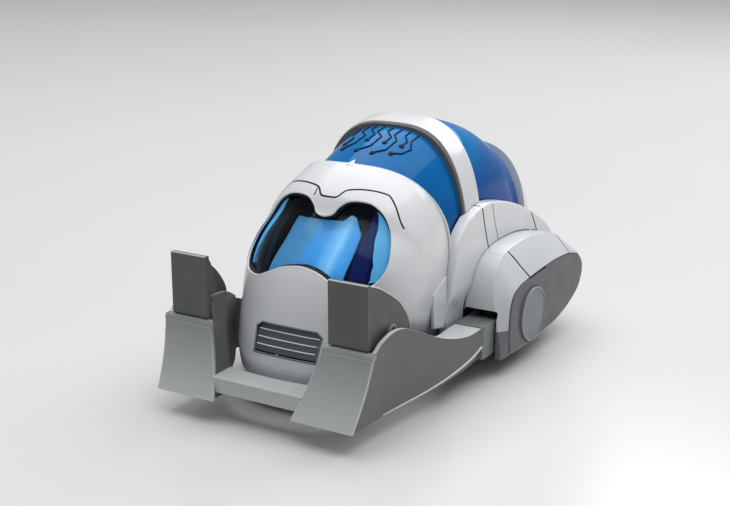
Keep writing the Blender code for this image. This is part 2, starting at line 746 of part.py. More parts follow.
def build_jaw(side, name):
    origin = (0.0, *JAW_HINGE)
    front = [
        (JAW_X[0], JAW_Z[0]), (JAW_X[1] - 0.9, JAW_Z[0]),
        (JAW_X[1] - 0.9, JAW_Z[1]), (JAW_X[0], JAW_Z[1]),
    ]
    jaw = add("jaw_" + name, mirror_solid(front_prism(front, JAW_Y, JAW_Y + 1.9), side), "dark_grey", origin)
    cheek = outline(JAW_CHEEK)
    join(jaw, helper("jaw_cheek_" + name, mirror_solid(plate(cheek, 41.8, 43.8), side)))
    small = outline(JAW_INNER_CHEEK)
    join(jaw, helper("jaw_small_cheek_" + name, mirror_solid(plate(small, 27.5, 29.0), side)))
    boss = circle(JAW_HINGE, 3.4, 20)
    join(jaw, helper("jaw_boss_" + name, mirror_solid(plate(boss, 41.2, 44.4), side)))
    cut(jaw, drill("jaw_hole_" + name, JAW_HINGE, 1.55, (26.0 * side, 50.0 * side), 12))
    pin = rod(JAW_HINGE, 1.2, (30.6, 46.5), 12)
    add("jaw_pin_" + name, mirror_solid(pin, side), "steel", origin)


def build_arm(side, name):
    bar_view = [(BAR_Y[0], BAR_Z[0]), (BAR_Y[1], BAR_Z[0]), (BAR_Y[1], BAR_Z[1]), (BAR_Y[0], BAR_Z[1])]
    bar = add("arm_" + name, mirror_solid(plate(bar_view, *BAR_X), side), "light_grey", (0.0, AXLE_Y, AXLE_Z))
    lever_view = [(-2.0, 11.0), (AXLE_Y, 12.9), (AXLE_Y, 28.3), (-2.0, 23.2)]
    join(bar, helper("lever_" + name, mirror_solid(plate(lever_view, 37.8, 40.3), side)))
    join(bar, helper("lever_eye_" + name, mirror_solid(rod((AXLE_Y, AXLE_Z), 7.7, (37.7, 40.4), 24), side)))
    join(bar, helper("sleeve_" + name, mirror_solid(rod((AXLE_Y, AXLE_Z), 6.2, (28.6, 39.0), 24), side)))
    teeth = gear_outline(
        (AXLE_Y, AXLE_Z), LIFT_MODULE, SECTOR_TEETH, LIFT_ANGLE, bore=6.6, span=SECTOR_SPAN
    )
    join(bar, helper("sector_" + name, mirror_solid(plate(teeth, *SECTOR_X), side)))
    span = (20.0 * side, 45.0 * side)
    cut(bar, drill("sleeve_bore_" + name, (AXLE_Y, AXLE_Z), AXLE_R + GAP, span))


def build_crossbar():
    origin = (0.0, AXLE_Y, AXLE_Z)
    view = [
        (CROSSBAR_Y[0], CROSSBAR_Z[0]), (CROSSBAR_Y[1], CROSSBAR_Z[0]),
        (CROSSBAR_Y[1], CROSSBAR_Z[1]), (CROSSBAR_Y[0], CROSSBAR_Z[1]),
    ]
    ends = [side_ring(view, lambda y, z, s=s: s * (inner_cheek_x(y, z) - GAP)) for s in (-1, 1)]
    add("fork_crossbar", loft(ends), "light_grey", origin)


def build_lift_drive():
    centre = lift_centre()
    origin = (0.0, *centre)
    add("lift_shaft", rod(centre, AXLE_R, (-30.6, 30.6), 12), "steel", origin)
    case = [(27.6, 30.4), (45.4, 30.4), (45.4, 47.4), (27.6, 47.4)]
    motor = add("lift_motor", loft([
        side_ring(inset(case, 1.2), -14.0), side_ring(case, -12.8),
        side_ring(case, 12.8), side_ring(inset(case, 1.2), 14.0),
    ]), "black")
    cut(motor, drill("lift_motor_bore", centre, AXLE_R + GAP, (-20.0, 20.0)))
    for name, side in SIDES.items():
        half_tooth = 180.0 / LIFT_TEETH
        teeth = gear_outline(centre, LIFT_MODULE, LIFT_TEETH, LIFT_ANGLE + 180.0 + half_tooth)
        pinion = add(
            "lift_pinion_" + name, mirror_solid(plate(teeth, *SECTOR_X), side), "gear_white", origin
        )
        cut(pinion, drill("lift_bore_" + name, centre, AXLE_R + GAP, (20.0 * side, 40.0 * side)))


# ---------------------------------------------------------------- chassis and its contents

TUB = [
    (0.0, -64.0), (11.0, -63.2), (17.5, -58.0), (21.5, -48.0), (24.0, -38.0), (25.4, -26.0),
    (25.6, -12.0), (TUB_X - 0.8, -8.0), (TUB_X, -4.0), (TUB_X, 60.0), (27.0, 65.0), (25.6, 75.2),
    (14.0, 78.6), (0.0, 79.6),
]


def build_tub():
    plan = mirrored(TUB)
    z0, z1 = TUB_Z
    rings = [
        [(x, y, z0) for x, y in inset(plan, 1.4)],
        [(x, y, z0 + 1.4) for x, y in plan],
        [(x, y, z1) for x, y in plan],
        [(x, y, z1) for x, y in inset(plan, 1.8)],
        [(x, y, z0 + 1.9) for x, y in inset(plan, 1.8)],
    ]
    tub = add("chassis_tub", loft(rings), "dark_grey")
    axle_holes = drill("tub_axle_holes", (AXLE_Y, AXLE_Z), 6.6, (-60.0, 60.0), 24)
    hatch = helper("hatch_cut", box((-22.0, 22.0), (41.4, 73.4), (0.0, 13.0)))
    switch_slot = helper("switch_slot", box((-4.6, 8.6), (31.4, 36.6), (0.0, 13.0)))
    pinion_room = helper("sector_room", box((-30.9, 30.9), (20.0, 46.0), (31.0, 40.0)))
    cut(tub, axle_holes, hatch, switch_slot, pinion_room)
    add("battery_cover", box((-21.6, 21.6), (41.8, 73.0), (10.1, 11.5)), "dark_grey")
    add("power_switch", box((-2.4, 2.4), (31.9, 36.1), (8.7, 13.6)), "light_grey")


def build_caster():
    centre = (0.0, CASTER_Y, CASTER_R)
    ball_rings = 8
    ball = []
    for i in range(1, ball_rings):
        t = math.pi * i / ball_rings
        radius = CASTER_R * math.sin(t)
        x = -CASTER_R * math.cos(t)
        ball.append(side_ring(circle((CASTER_Y, CASTER_R), radius, 20), x))
    ends = [side_ring(circle((CASTER_Y, CASTER_R), 0.2, 20), s * CASTER_R) for s in (-1, 1)]
    add("caster_ball", loft([ends[0], *ball, ends[1]]), "steel", centre)
    socket = CASTER_R + GAP
    low = 3.9
    housing = add("caster_housing", floor_prism(circle((0.0, CASTER_Y), 7.4, 28), low, TUB_Z[0] - GAP), "dark_grey")
    hollow = []
    for i in range(1, 9):
        t = math.pi * i / 9
        z = CASTER_R - socket * math.cos(t)
        hollow.append([(x, y, z) for x, y in circle((0.0, CASTER_Y), socket * math.sin(t), 24)])
    cut(housing, helper("caster_socket", loft(hollow)))


def build_inside():
    deck = add("chassis_deck", box((-25.0, 25.0), (-50.0, -14.0), (33.2, 34.8)), "dark_grey")
    posts = [
        helper(f"deck_post_{x}_{y}", floor_prism(circle((x, y), 2.2, 10), 34.0, 39.6))
        for x in (-19, 19) for y in (-46, -18)
    ]
    join(deck, *posts)
    add("circuit_board", box((-23.0, 23.0), (-49.0, -15.0), (40.0, 41.6)), "board_green")
    cone = [(0.05, -69.4), (8.6, -69.4), (9.2, -68.8), (9.2, -66.0), (6.0, -64.4), (0.05, -64.4)]
    rings = [[(x, y, z) for x, z in circle((0.0, 26.6), radius, 24)] for radius, y in cone]
    add("speaker", loft(rings), "black")
    case = [(-23.3, 40.2), (23.3, 40.2), (23.3, 73.4), (-23.3, 73.4)]
    add("battery_holder", loft([
        [(x, y, 25.6) for x, y in case],
        [(x, y, 12.4) for x, y in case],
        [(x, y, 12.4) for x, y in inset(case, 0.9)],
        [(x, y, 24.4) for x, y in inset(case, 0.9)],
    ]), "black")
    for number in range(3):
        centre = (46.4 + number * 10.5, 18.4)
        cell = [(1.8, -22.0), (5.1, -22.0), (5.1, 20.8), (1.8, 20.8), (1.8, 22.0)]
        rings = [side_ring(circle(centre, radius, 16), x) for radius, x in cell]
        add(f"battery_cell_{number + 1}", loft(rings), "cell_wrap")


def build():
    for old in list(bpy.data.objects):
        bpy.data.objects.remove(old)
    fender_room = [
        helper(
            "fender_room_" + name,
            mirror_solid(plate(inset(outline(FENDER), -GAP), FENDER_INNER_X - GAP, 60.0), side),
        )
        for name, side in SIDES.items()
    ]
    build_head(fender_room)
    build_cabin(fender_room)
    build_tub()
    build_caster()
    build_inside()
    build_crossbar()
    build_lift_drive()
    for name, side in SIDES.items():
        build_fender(side, name)
        build_pod(side, name)
        build_wheel(side, name)
        build_motor(side, name)
        build_ramp(side, name)
        build_jaw(side, name)
        build_arm(side, name)


build()
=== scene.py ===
"""Two-wheel robot car with a lifting fork: its finished surfaces, materials, studio and camera.

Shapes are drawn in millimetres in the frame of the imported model, nose along -Y, and MM turns them
into metres. A piece that is there twice is drawn for the left side and mirrored for the right one.
"""

import json
import math

import bmesh
import bpy
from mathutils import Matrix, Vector

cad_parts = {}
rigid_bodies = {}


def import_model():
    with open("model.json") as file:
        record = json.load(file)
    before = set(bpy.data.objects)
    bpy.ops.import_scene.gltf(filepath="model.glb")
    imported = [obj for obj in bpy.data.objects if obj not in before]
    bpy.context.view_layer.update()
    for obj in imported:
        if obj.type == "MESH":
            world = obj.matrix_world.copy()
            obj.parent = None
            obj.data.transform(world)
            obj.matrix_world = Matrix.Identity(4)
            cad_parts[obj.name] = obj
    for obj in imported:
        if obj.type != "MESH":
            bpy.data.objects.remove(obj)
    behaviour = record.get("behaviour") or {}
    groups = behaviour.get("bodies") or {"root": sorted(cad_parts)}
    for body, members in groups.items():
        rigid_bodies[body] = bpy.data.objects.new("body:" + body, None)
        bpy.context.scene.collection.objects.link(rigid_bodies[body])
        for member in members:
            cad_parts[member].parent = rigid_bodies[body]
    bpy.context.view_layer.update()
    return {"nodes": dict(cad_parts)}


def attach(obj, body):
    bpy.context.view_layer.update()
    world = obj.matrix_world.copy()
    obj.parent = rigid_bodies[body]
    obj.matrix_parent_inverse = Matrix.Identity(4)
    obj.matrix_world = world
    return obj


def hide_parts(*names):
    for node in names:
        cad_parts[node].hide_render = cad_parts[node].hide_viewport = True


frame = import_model()

MM = 0.001
SIDES = {"left": 1, "right": -1}

# ---------------------------------------------------------------- the drawing

AXLE_Y = 26.1
AXLE_Z = 20.6
TYRE_R = 20.6
RIM_R = 14.0
TYRE_X = (41.2, 48.2)
BLADE_FOOT = (-101.1, 9.3)
BLADE_HEAD = (-90.5, 36.9)
BLADE_FOOT_X = (17.7, 44.1)
BLADE_HEAD_X = (26.2, 46.9)
BAR_X = (37.9, 50.4)
BAR_Y = (-10.5, 3.2)
BAR_Z = (10.1, 23.9)
BEAM_END_Y = -10.9
CHEEK_NOSE_Y = -98.5
BLADE_HOLLOW = 1.15
CROSSBAR_Y = (-97.8, -85.0)
CROSSBAR_Z = (11.7, 17.8)
JAW_X = (27.3, 45.0)
JAW_Y = -90.0
JAW_Z = (37.6, 61.8)
JAW_HINGE = (-72.5, 39.5)
ARCH_Y = (2.2, 14.8)
TRIM_Y = (65.1, 67.2)
FLOOR_CLEARANCE = 9.6
WALL = 1.6
GAP = 0.35
BESIDE = 60.0
BEYOND = 120.0

HEAD = {
    "profile": [
        (-79.6, 4.0), (-81.7, 15.9), (-79.4, 23.3), (-75.1, 34.5), (-71.5, 45.5), (-67.1, 56.3),
        (-59.4, 65.7), (-50.7, 73.0), (-46.3, 80.0), (-39.1, 85.5), (-30.7, 89.5), (-15.8, 95.4),
        (2.2, 101.2), (18.0, 101.2), (31.5, 85.5), (36.0, 54.0), (31.5, 10.0), (13.5, -14.0),
        (-36.0, -18.0), (-68.0, -10.0),
    ],
    "spine": (-28.6, 51.9),
    "half_width": 36.9,
    "taper_up": 10.9,
    "taper_down": 7.0,
    "across": 3.44,
    "along": 2.78,
}
CABIN = {
    "profile": [
        (-60.0, 60.0), (-52.0, 76.0), (-40.5, 83.2), (-30.2, 88.7), (-13.5, 95.6), (2.2, 100.6),
        (15.8, 102.6), (27.9, 101.6), (45.0, 96.0), (63.0, 86.0), (78.0, 74.5), (89.0, 62.0),
        (96.5, 48.0), (101.1, 33.0), (100.2, 20.0), (97.5, 8.0), (88.0, -6.0), (60.0, -12.0),
        (-20.0, -12.0), (-58.0, 20.0),
    ],
    "spine": (24.0, 50.0),
    "half_width": 35.6,
    "taper_up": 1.5,
    "taper_down": 0.0,
    "across": 2.7,
    "along": 2.6,
}
CABIN_REAR = {**CABIN, "across": 2.9, "along": 2.9}
CABIN_TAIL = {**CABIN, "across": 3.2, "along": 3.4}
CABIN_ARCH = {**CABIN, "across": 3.1}
TAPER_SCALE = 45.0

HOOD_EDGE = [
    (-30.2, 90.0), (-28.8, 88.8), (-26.0, 86.2), (-22.7, 82.4), (-18.9, 76.5), (-16.2, 71.0),
    (-14.0, 65.2), (-12.8, 58.0), (-12.4, 40.0), (-12.4, FLOOR_CLEARANCE),
]
VISOR = [
    (0.0, 72.9), (3.6, 73.8), (5.6, 76.4), (9.0, 78.8), (14.0, 79.4), (19.4, 78.4), (24.2, 75.0),
    (27.6, 69.6), (30.3, 63.5), (31.3, 58.2), (30.0, 53.1), (26.4, 50.7), (19.6, 50.3),
    (14.4, 52.3), (8.0, 55.0), (0.0, 56.2),
]
VISOR_CENTRE = (0.0, 65.0)
VISOR_REACH = [
    (50.0, 26.5), (53.1, 30.0), (58.2, 31.3), (63.5, 30.3), (69.6, 27.6), (75.0, 24.2), (78.0, 20.0),
]
DISPLAY_FOOT = 50.2
DISPLAY_TOP = [(-1.0, 69.4), (0.42, 70.2), (0.52, 72.4), (0.68, 71.6), (1.0, 66.4)]
BROW = [
    (31.1, 69.8), (27.0, 76.5), (23.4, 80.6), (21.0, 81.9), (17.1, 82.8), (12.4, 83.1), (6.6, 82.4),
    (3.6, 80.0), (0.0, 79.7),
]
VENT_HALF = [(23.4, 14.0), (32.6, 14.8), (34.4, 12.5)]
VENT = [(-12.6, 34.4), (12.6, 34.4), (15.0, 32.6), (14.2, 23.4), (-14.2, 23.4), (-15.0, 32.6)]
POD = [
    [(-0.9, 7.7), (-0.6, 18.0), (0.0, 27.9), (2.4, 38.2), (7.2, 45.0), (14.4, 48.8)],
    [(14.4, 48.8), (24.8, 50.4), (40.5, 50.4), (55.8, 48.3), (67.5, 45.0), (78.8, 38.6)],
    [(78.8, 38.6), (84.0, 31.0), (84.2, 22.5), (77.5, 14.8), (66.0, 10.2)],
    [(66.0, 10.2), (45.0, 8.4), (22.5, 7.7), (-0.9, 7.7)],
]
PANEL = [
    [(4.6, 8.7), (4.2, 15.0), (4.2, 21.5), (5.2, 28.4), (8.3, 33.6), (14.8, 36.0)],
    [(14.8, 36.0), (23.9, 37.0), (36.0, 37.8), (51.3, 38.2), (65.7, 37.2), (76.0, 34.6)],
    [(76.0, 34.6), (80.3, 30.5), (81.0, 25.0), (76.5, 18.4), (66.2, 13.6)],
    [(66.2, 13.6), (52.0, 10.2), (28.0, 8.6), (4.6, 8.7)],
]
PANEL_X = (54.2, 55.9)
LIP_X = 55.5
POD_INNER_X = 36.4
POD_BACK_X = 41.0
SLOT_X = 51.75
SLOT_TOP = 27.9
SLOT_CORNER = 1.2
HUB_CAP_R = 11.8
HUB_CAP_X = (56.25, 57.0)
FENDER = [
    [(-15.8, 10.2), (-15.8, 24.0), (-15.6, 39.1), (-12.6, 53.1), (-6.8, 60.8), (0.0, 65.7)],
    [(0.0, 65.7), (10.3, 68.6), (20.2, 68.6), (33.8, 66.0), (48.1, 61.6), (60.8, 56.2)],
    [(60.8, 56.2), (72.0, 50.6), (83.2, 43.2), (88.0, 34.0), (87.0, 18.0), (81.0, 10.2)],
    [(81.0, 10.2), (-15.8, 10.2)],
]
FENDER_INNER_X = 33.2

OUTER_CHEEK_TOP = [
    (-90.3, 36.7), (-88.0, 37.2), (-84.6, 39.6), (-77.5, 41.6), (-70.2, 41.0), (-62.7, 37.9),
    (-54.9, 34.4), (-46.9, 30.8), (-38.7, 27.7), (-30.2, 25.3), (-21.6, 23.8), (BEAM_END_Y, 23.6),
]
OUTER_CHEEK_FLOOR = [(-100.8, 9.5), (-70.0, 9.3), (-40.0, 9.4), (BEAM_END_Y, 10.3)]
LIP_LINE = [(-80.0, 9.7), (-57.0, 9.9), (-39.6, 11.0), (-21.0, 13.4), (BEAM_END_Y, 15.8)]
INNER_CHEEK_TOP = [
    (-87.7, 36.9), (-87.0, 41.0), (-84.4, 44.6), (-80.0, 45.4), (-75.0, 44.0), (-70.0, 41.8),
    (-66.0, 39.8), (-62.2, 38.0),
]
INNER_CHEEK_FLOOR = [(-100.4, 9.8), (-84.0, 9.8), (-68.0, 11.5), (-64.0, 15.0), (-62.2, 19.0)]
JAW_CHEEK = [
    [(JAW_Y, JAW_Z[0]), (JAW_Y, JAW_Z[1])],
    [(JAW_Y, JAW_Z[1]), (-88.4, 61.5), (-81.9, 59.1), (-74.7, 55.1), (-67.2, 50.2), (-62.2, 44.9),
     (-59.2, 40.0), (-58.6, 36.5)],
    [(-58.6, 36.5), (-72.0, 35.0), (JAW_Y, JAW_Z[0])],
]
JAW_INNER_CHEEK = [
    [(JAW_Y, 46.4), (JAW_Y, JAW_Z[1])],
    [(JAW_Y, JAW_Z[1]), (-88.6, 61.4), (-86.4, 58.0), (-84.4, 52.0), (-83.6, 46.4)],
    [(-83.6, 46.4), (JAW_Y, 46.4)],
]


# ---------------------------------------------------------------- outlines

def spline(points, steps):
    """Samples of an open Catmull-Rom curve through the points, its last point left out."""
    first = tuple(2 * a - b for a, b in zip(points[0], points[1]))
    last = tuple(2 * a - b for a, b in zip(points[-1], points[-2]))
    ends = [first, *points, last]
    samples = []
    for p0, p1, p2, p3 in zip(ends, ends[1:], ends[2:], ends[3:]):
        for step in range(steps):
            t = step / steps
            weights = (
                -0.5 * t + t * t - 0.5 * t ** 3,
                1 - 2.5 * t * t + 1.5 * t ** 3,
                0.5 * t + 2 * t * t - 1.5 * t ** 3,
                0.5 * t ** 3 - 0.5 * t * t,
            )
            pairs = zip(weights, (p0, p1, p2, p3))
            samples.append(tuple(map(sum, zip(*[tuple(w * v for v in p) for w, p in pairs]))))
    return samples


def curve(points, steps=8):
    return spline(points, steps) + [points[-1]]


def outline(sections, steps=8):
    """A closed outline of smooth sections that meet at corners."""
    return [point for section in sections for point in spline(section, steps)]


def closed_spline(points, steps):
    count = len(points)
    samples = spline(points[-2:] + points + points[:2], steps)
    return samples[2 * steps:(2 + count) * steps]


def area_of(points):
    return sum(a[0] * b[1] - b[0] * a[1] for a, b in zip(points, points[1:] + points[:1])) / 2


def unit(a, b):
    length = math.hypot(a, b) or 1.0
    return a / length, b / length


def inset(points, depth):
    """The outline moved inwards by depth, or outwards by a negative depth."""
    turn = 1 if area_of(points) > 0 else -1
    moved = []
    for before, here, after in zip(points[-1:] + points[:-1], points, points[1:] + points[:1]):
        in_run = unit(here[0] - before[0], here[1] - before[1])
        out_run = unit(after[0] - here[0], after[1] - here[1])
        normal = unit(-(in_run[1] + out_run[1]) * turn, (in_run[0] + out_run[0]) * turn)
        lean = max(0.5, -in_run[1] * turn * normal[0] + in_run[0] * turn * normal[1])
        moved.append((here[0] + normal[0] * depth / lean, here[1] + normal[1] * depth / lean))
    return moved


def inner_outline(sections, depth, steps=8):
    """A smooth outline drawn through the inset corners of another one."""
    corners = inset([point for section in sections for point in section[:-1]], depth)
    moved = []
    start = 0
    for section in sections:
        end = start + len(section) - 1
        moved.append(corners[start:end] + [corners[end % len(corners)]])
        start = end
    return outline(moved, steps)


def shrunk(points, share):
    """The outline scaled towards its middle."""
    middle = [sum(p[i] for p in points) / len(points) for i in (0, 1)]
    return [tuple(c + (v - c) * share for v, c in zip(p, middle)) for p in points]


def circle(centre, radius, count=64):
    turns = [2 * math.pi * i / count for i in range(count)]
    return [(centre[0] + radius * math.cos(t), centre[1] + radius * math.sin(t)) for t in turns]


def mirrored(half):
    return half + [(-x, z) for x, z in reversed(half[1:-1])]


def ease(value, low, high):
    t = min(1.0, max(0.0, (value - low) / (high - low)))
    return t * t * (3 - 2 * t)


def mix(a, b, t):
    return a + (b - a) * t


def along(points, value):
    """The second coordinate of a polyline at a value of its rising first coordinate."""
    if value <= points[0][0]:
        return points[0][1]
    for a, b in zip(points, points[1:]):
        if value <= b[0]:
            return mix(a[1], b[1], (value - a[0]) / ((b[0] - a[0]) or 1.0))
    return points[-1][1]


# ---------------------------------------------------------------- solids as (points, faces)

def loft(rings, closed=False):
    """A skin over rings of equally many points, capped at both ends, or closed into a loop."""
    count = len(rings[0])
    total = len(rings) * count
    faces = []
    for ring in range(len(rings) - (0 if closed else 1)):
        base = ring * count
        for i in range(count):
            j = (i + 1) % count
            faces.append((base + i, base + j, (base + count + j) % total, (base + count + i) % total))
    if not closed:
        faces.append(tuple(range(count)))
        faces.append(tuple(range(total - count, total)))
    return [point for ring in rings for point in ring], faces


def side_ring(points, x):
    place = x if callable(x) else (lambda y, z: x)
    return [(place(y, z), y, z) for y, z in points]


def plate(points, x0, x1):
    return loft([side_ring(points, x0), side_ring(points, x1)])


def front_prism(points, y0, y1):
    return loft([[(x, y, z) for x, z in points] for y in (y0, y1)])


def box(x, y, z):
    return plate([(y[0], z[0]), (y[1], z[0]), (y[1], z[1]), (y[0], z[1])], x[0], x[1])


def mirror_solid(solid, side):
    points, faces = solid
    return [(x * side, y, z) for x, y, z in points], faces


def merged(*solids):
    """Several solids as one, without joining their skins."""
    points, faces = [], []
    for more_points, more_faces in solids:
        start = len(points)
        points += more_points
        faces += [tuple(start + i for i in face) for face in more_faces]
    return points, faces


def tube(path, radius, sides=10, closed=False):
    """A round tube along 3-D points; radius may be a function of the share of the path."""
    rings = []
    side_way = None
    count = len(path)
    for i, here in enumerate(path):
        before = path[i - 1] if i or closed else here
        after = path[(i + 1) % count] if i < count - 1 or closed else here
        run = (Vector(after) - Vector(before)).normalized()
        if side_way is None:
            side_way = run.orthogonal()
        side_way = (side_way - run * side_way.dot(run)).normalized()
        up_way = run.cross(side_way)
        r = radius(i / (count - 1)) if callable(radius) else radius
        ring = []
        for k in range(sides):
            turn = 2 * math.pi * k / sides
            reach = side_way * (r * math.cos(turn)) + up_way * (r * math.sin(turn))
            ring.append(tuple(Vector(here) + reach))
        rings.append(ring)
    return loft(rings, closed)


def egg(shape, depth=0.0, around=6, across=64):
    """A closed egg, or the same egg shrunk by depth for the inside of its skin."""
    ring = inset(closed_spline(shape["profile"], around), depth)
    spine_y, spine_z = shape["spine"]
    points = []
    for i in range(1, across):
        share = 2 * i / across - 1
        side = math.copysign(1 - (1 - abs(share)) ** 1.8, share)
        shrink = (1 - abs(side) ** shape["across"]) ** (1 / shape["along"])
        for y, z in ring:
            tall = spine_z + shrink * (z - spine_z)
            points.append((side * half_at(shape, tall, depth), spine_y + shrink * (y - spine_y), tall))
    count = len(ring)
    faces = []
    for row in range(across - 2):
        for i in range(count):
            j = (i + 1) % count
            a, b = row * count, (row + 1) * count
            faces.append((a + i, a + j, b + j, b + i))
    for row, side in ((0, -1), (across - 2, 1)):
        points.append((side * (shape["half_width"] - depth), spine_y, spine_z))
        tip = len(points) - 1
        faces += [(row * count + i, row * count + (i + 1) % count, tip) for i in range(count)]
    return points, faces


def half_at(shape, z, depth):
    """Half the width of an egg's widest section at height z."""
    rise = (z - shape["spine"][1]) / TAPER_SCALE
    taper = shape["taper_up"] if rise > 0 else shape["taper_down"]
    return shape["half_width"] - depth - taper * rise * rise


def shrink_at(shape, x, z, depth):
    side = min(0.992, abs(x) / half_at(shape, z, depth))
    return (1 - side ** shape["across"]) ** (1 / shape["along"])


FRONT_OF_HEAD = [(z, y) for y, z in curve(HEAD["profile"][:13], 6)]
TOP_OF_CABIN = curve(CABIN["profile"][:15], 6)


def head_y(x, z, depth=0.0):
    """Where the front of the head is at (x, z), depth under its skin."""
    spine_y, spine_z = HEAD["spine"]
    shrink = shrink_at(HEAD, x, z, depth)
    middle = along(FRONT_OF_HEAD, spine_z + (z - spine_z) / shrink)
    return spine_y + shrink * (middle + depth - spine_y)


def on_head(x, z, depth=0.0):
    return (x, head_y(x, z, depth), z)


def skin_x(shape, y, z, depth=0.0):
    """Half the width of an egg at the side-view point (y, z)."""
    spine_y, spine_z = shape["spine"]
    away_y, away_z = y - spine_y, z - spine_z
    ring = inset(closed_spline(shape["profile"], 6), depth)
    share = 1.0
    for a, b in zip(ring, ring[1:] + ring[:1]):
        ay, az = a[0] - spine_y, a[1] - spine_z
        by, bz = b[0] - spine_y, b[1] - spine_z
        start = ay * away_z - az * away_y
        end = by * away_z - bz * away_y
        if start * end <= 0 and ay * away_y + az * away_z > 0 and start != end:
            t = start / (start - end)
            reach = math.hypot(mix(ay, by, t), mix(az, bz, t))
            share = min(1.0, math.hypot(away_y, away_z) / reach)
    side = (1 - share ** shape["along"]) ** (1 / shape["across"])
    return side * half_at(shape, z, depth)


def cabin_section(shape, y, depth, low_z, count=72):
    """The cabin's cross section at y, from its left foot at low_z over the top to the right."""
    spine_y, spine_z = shape["spine"]
    half = []
    for i in range(count):
        side = 1 - (1 - i / (count - 1)) ** 2.0
        side = min(side, 0.9999)
        shrink = (1 - side ** shape["across"]) ** (1 / shape["along"])
        middle_y = spine_y + (y - spine_y) / shrink
        if not TOP_OF_CABIN[0][0] < middle_y < TOP_OF_CABIN[-1][0]:
            break
        z = spine_z + shrink * (along(TOP_OF_CABIN, middle_y) - depth - spine_z)
        if z < low_z:
            break
        half.append((side * half_at(shape, z, depth), z))
    return [(-x, z) for x, z in reversed(half[1:])] + half


def resampled(points, count):
    """Evenly spaced points along a polyline."""
    runs = [math.hypot(b[0] - a[0], b[1] - a[1]) for a, b in zip(points, points[1:])]
    total = sum(runs)
    samples = []
    for i in range(count):
        left = total * i / (count - 1)
        for (a, b), run in zip(zip(points, points[1:]), runs):
            if left <= run or b is points[-1]:
                t = min(1.0, left / (run or 1.0))
                samples.append((mix(a[0], b[0], t), mix(a[1], b[1], t)))
                break
            left -= run
    return samples


def hoop(shape, y_rows, outer, inner, low_z, count=96):
    """An arched band of the cabin between its skins at two depths, one ring for each y."""
    rings = []
    for y in y_rows:
        over = resampled(cabin_section(shape, y, outer, low_z), count)
        under = resampled(cabin_section(shape, y, inner, low_z), count)
        rings.append([(x, y, z) for x, z in over] + [(x, y, z) for x, z in reversed(under)])
    return loft(rings)


def wall_grid(y_rows, low, high, outer_x, inner_x, levels=10):
    """An upright wall along Y: its floor and top edges are functions of y, its faces of (y, z)."""
    rings = []
    for y in y_rows:
        heights = [mix(low(y), high(y), k / levels) for k in range(levels + 1)]
        ring = [(outer_x(y, z), y, z) for z in heights]
        ring += [(inner_x(y, z), y, z) for z in reversed(heights)]
        rings.append(ring)
    return loft(rings)


# ---------------------------------------------------------------- Blender objects

def add(name, solid, finish):
    points, faces = solid
    mesh = bpy.data.meshes.new(name)
    mesh.from_pydata([tuple(v * MM for v in point) for point in points], [], faces)
    work = bmesh.new()
    work.from_mesh(mesh)
    bmesh.ops.remove_doubles(work, verts=work.verts, dist=2e-6)
    wide = [face for face in work.faces if len(face.verts) > 4]
    bmesh.ops.triangulate(work, faces=wide, ngon_method="EAR_CLIP")
    bmesh.ops.recalc_face_normals(work, faces=work.faces)
    work.to_mesh(mesh)
    work.free()
    mesh.shade_smooth()
    mesh.materials.append(finishes[finish])
    made = bpy.data.objects.new(name, mesh)
    bpy.context.scene.collection.objects.link(made)
    return made


# painted shade: cut faces take a helper's finish, near-black unless another is named
def helper(name, solid, finish="inside_shade"):
    made = add("helper_" + name, solid, finish)
    made.hide_render = True
    return made


def shape_by(made, operation, others):
    for other in others:
        step = made.modifiers.new(other.name, "BOOLEAN")
        step.operation = operation
        step.object = other
        step.solver = "EXACT"
        step.material_mode = "TRANSFER"


def cut(made, *others):
    shape_by(made, "DIFFERENCE", others)


def keep(made, *others):
    shape_by(made, "INTERSECT", others)


def join(made, *others):
    shape_by(made, "UNION", others)


def bevel(made, width, angle=35.0, segments=3):
    """Rounds the edges; width is in millimetres."""
    step = made.modifiers.new("rounded edges", "BEVEL")
    step.width = width * MM
    step.segments = segments
    step.limit_method = "ANGLE"
    step.angle_limit = math.radians(angle)
    step.use_clamp_overlap = True
    step.harden_normals = False
    return made


def settle(made, body, nodes=(), slot=None, sharp=40.0):
    """Turns the modifiers into plain mesh, puts the piece on its body and hides the imported nodes that it
    stands for. slot is not used.
    """
    graph = bpy.context.evaluated_depsgraph_get()
    graph.update()
    settled = bpy.data.meshes.new_from_object(
        made.evaluated_get(graph), preserve_all_data_layers=True, depsgraph=graph
    )
    made.modifiers.clear()
    made.data = settled
    settled.shade_smooth()
    settled.set_sharp_from_angle(angle=math.radians(sharp))
    weighted = made.modifiers.new("weighted normals", "WEIGHTED_NORMAL")
    weighted.keep_sharp = True
    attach(made, body)
    if nodes:
        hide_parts(*nodes)
    return made


def clear_helpers():
    for old in [o for o in bpy.data.objects if o.name.startswith("helper_")]:
        bpy.data.objects.remove(old)


# ---------------------------------------------------------------- materials

def new_material(name):
    made = bpy.data.materials.new(name)
    made.use_nodes = True
    tree = made.node_tree
    shader = tree.nodes["Principled BSDF"]
    place = tree.nodes.new("ShaderNodeTexCoord")
    return made, tree, shader, place.outputs["Object"]


def noise(tree, place, scale, detail=4.0, roughness=0.55):
    made = tree.nodes.new("ShaderNodeTexNoise")
    made.inputs["Scale"].default_value = scale
    made.inputs["Detail"].default_value = detail
    made.inputs["Roughness"].default_value = roughness
    tree.links.new(place, made.inputs["Vector"])
    return made.outputs["Fac"]


def spread(tree, value, low, high, start=0.35, end=0.65):
    """A value between start and end mapped to low to high."""
    made = tree.nodes.new("ShaderNodeMapRange")
    made.inputs["From Min"].default_value = start
    made.inputs["From Max"].default_value = end
    made.inputs["To Min"].default_value = low
    made.inputs["To Max"].default_value = high
    tree.links.new(value, made.inputs["Value"])
    return made.outputs["Result"]


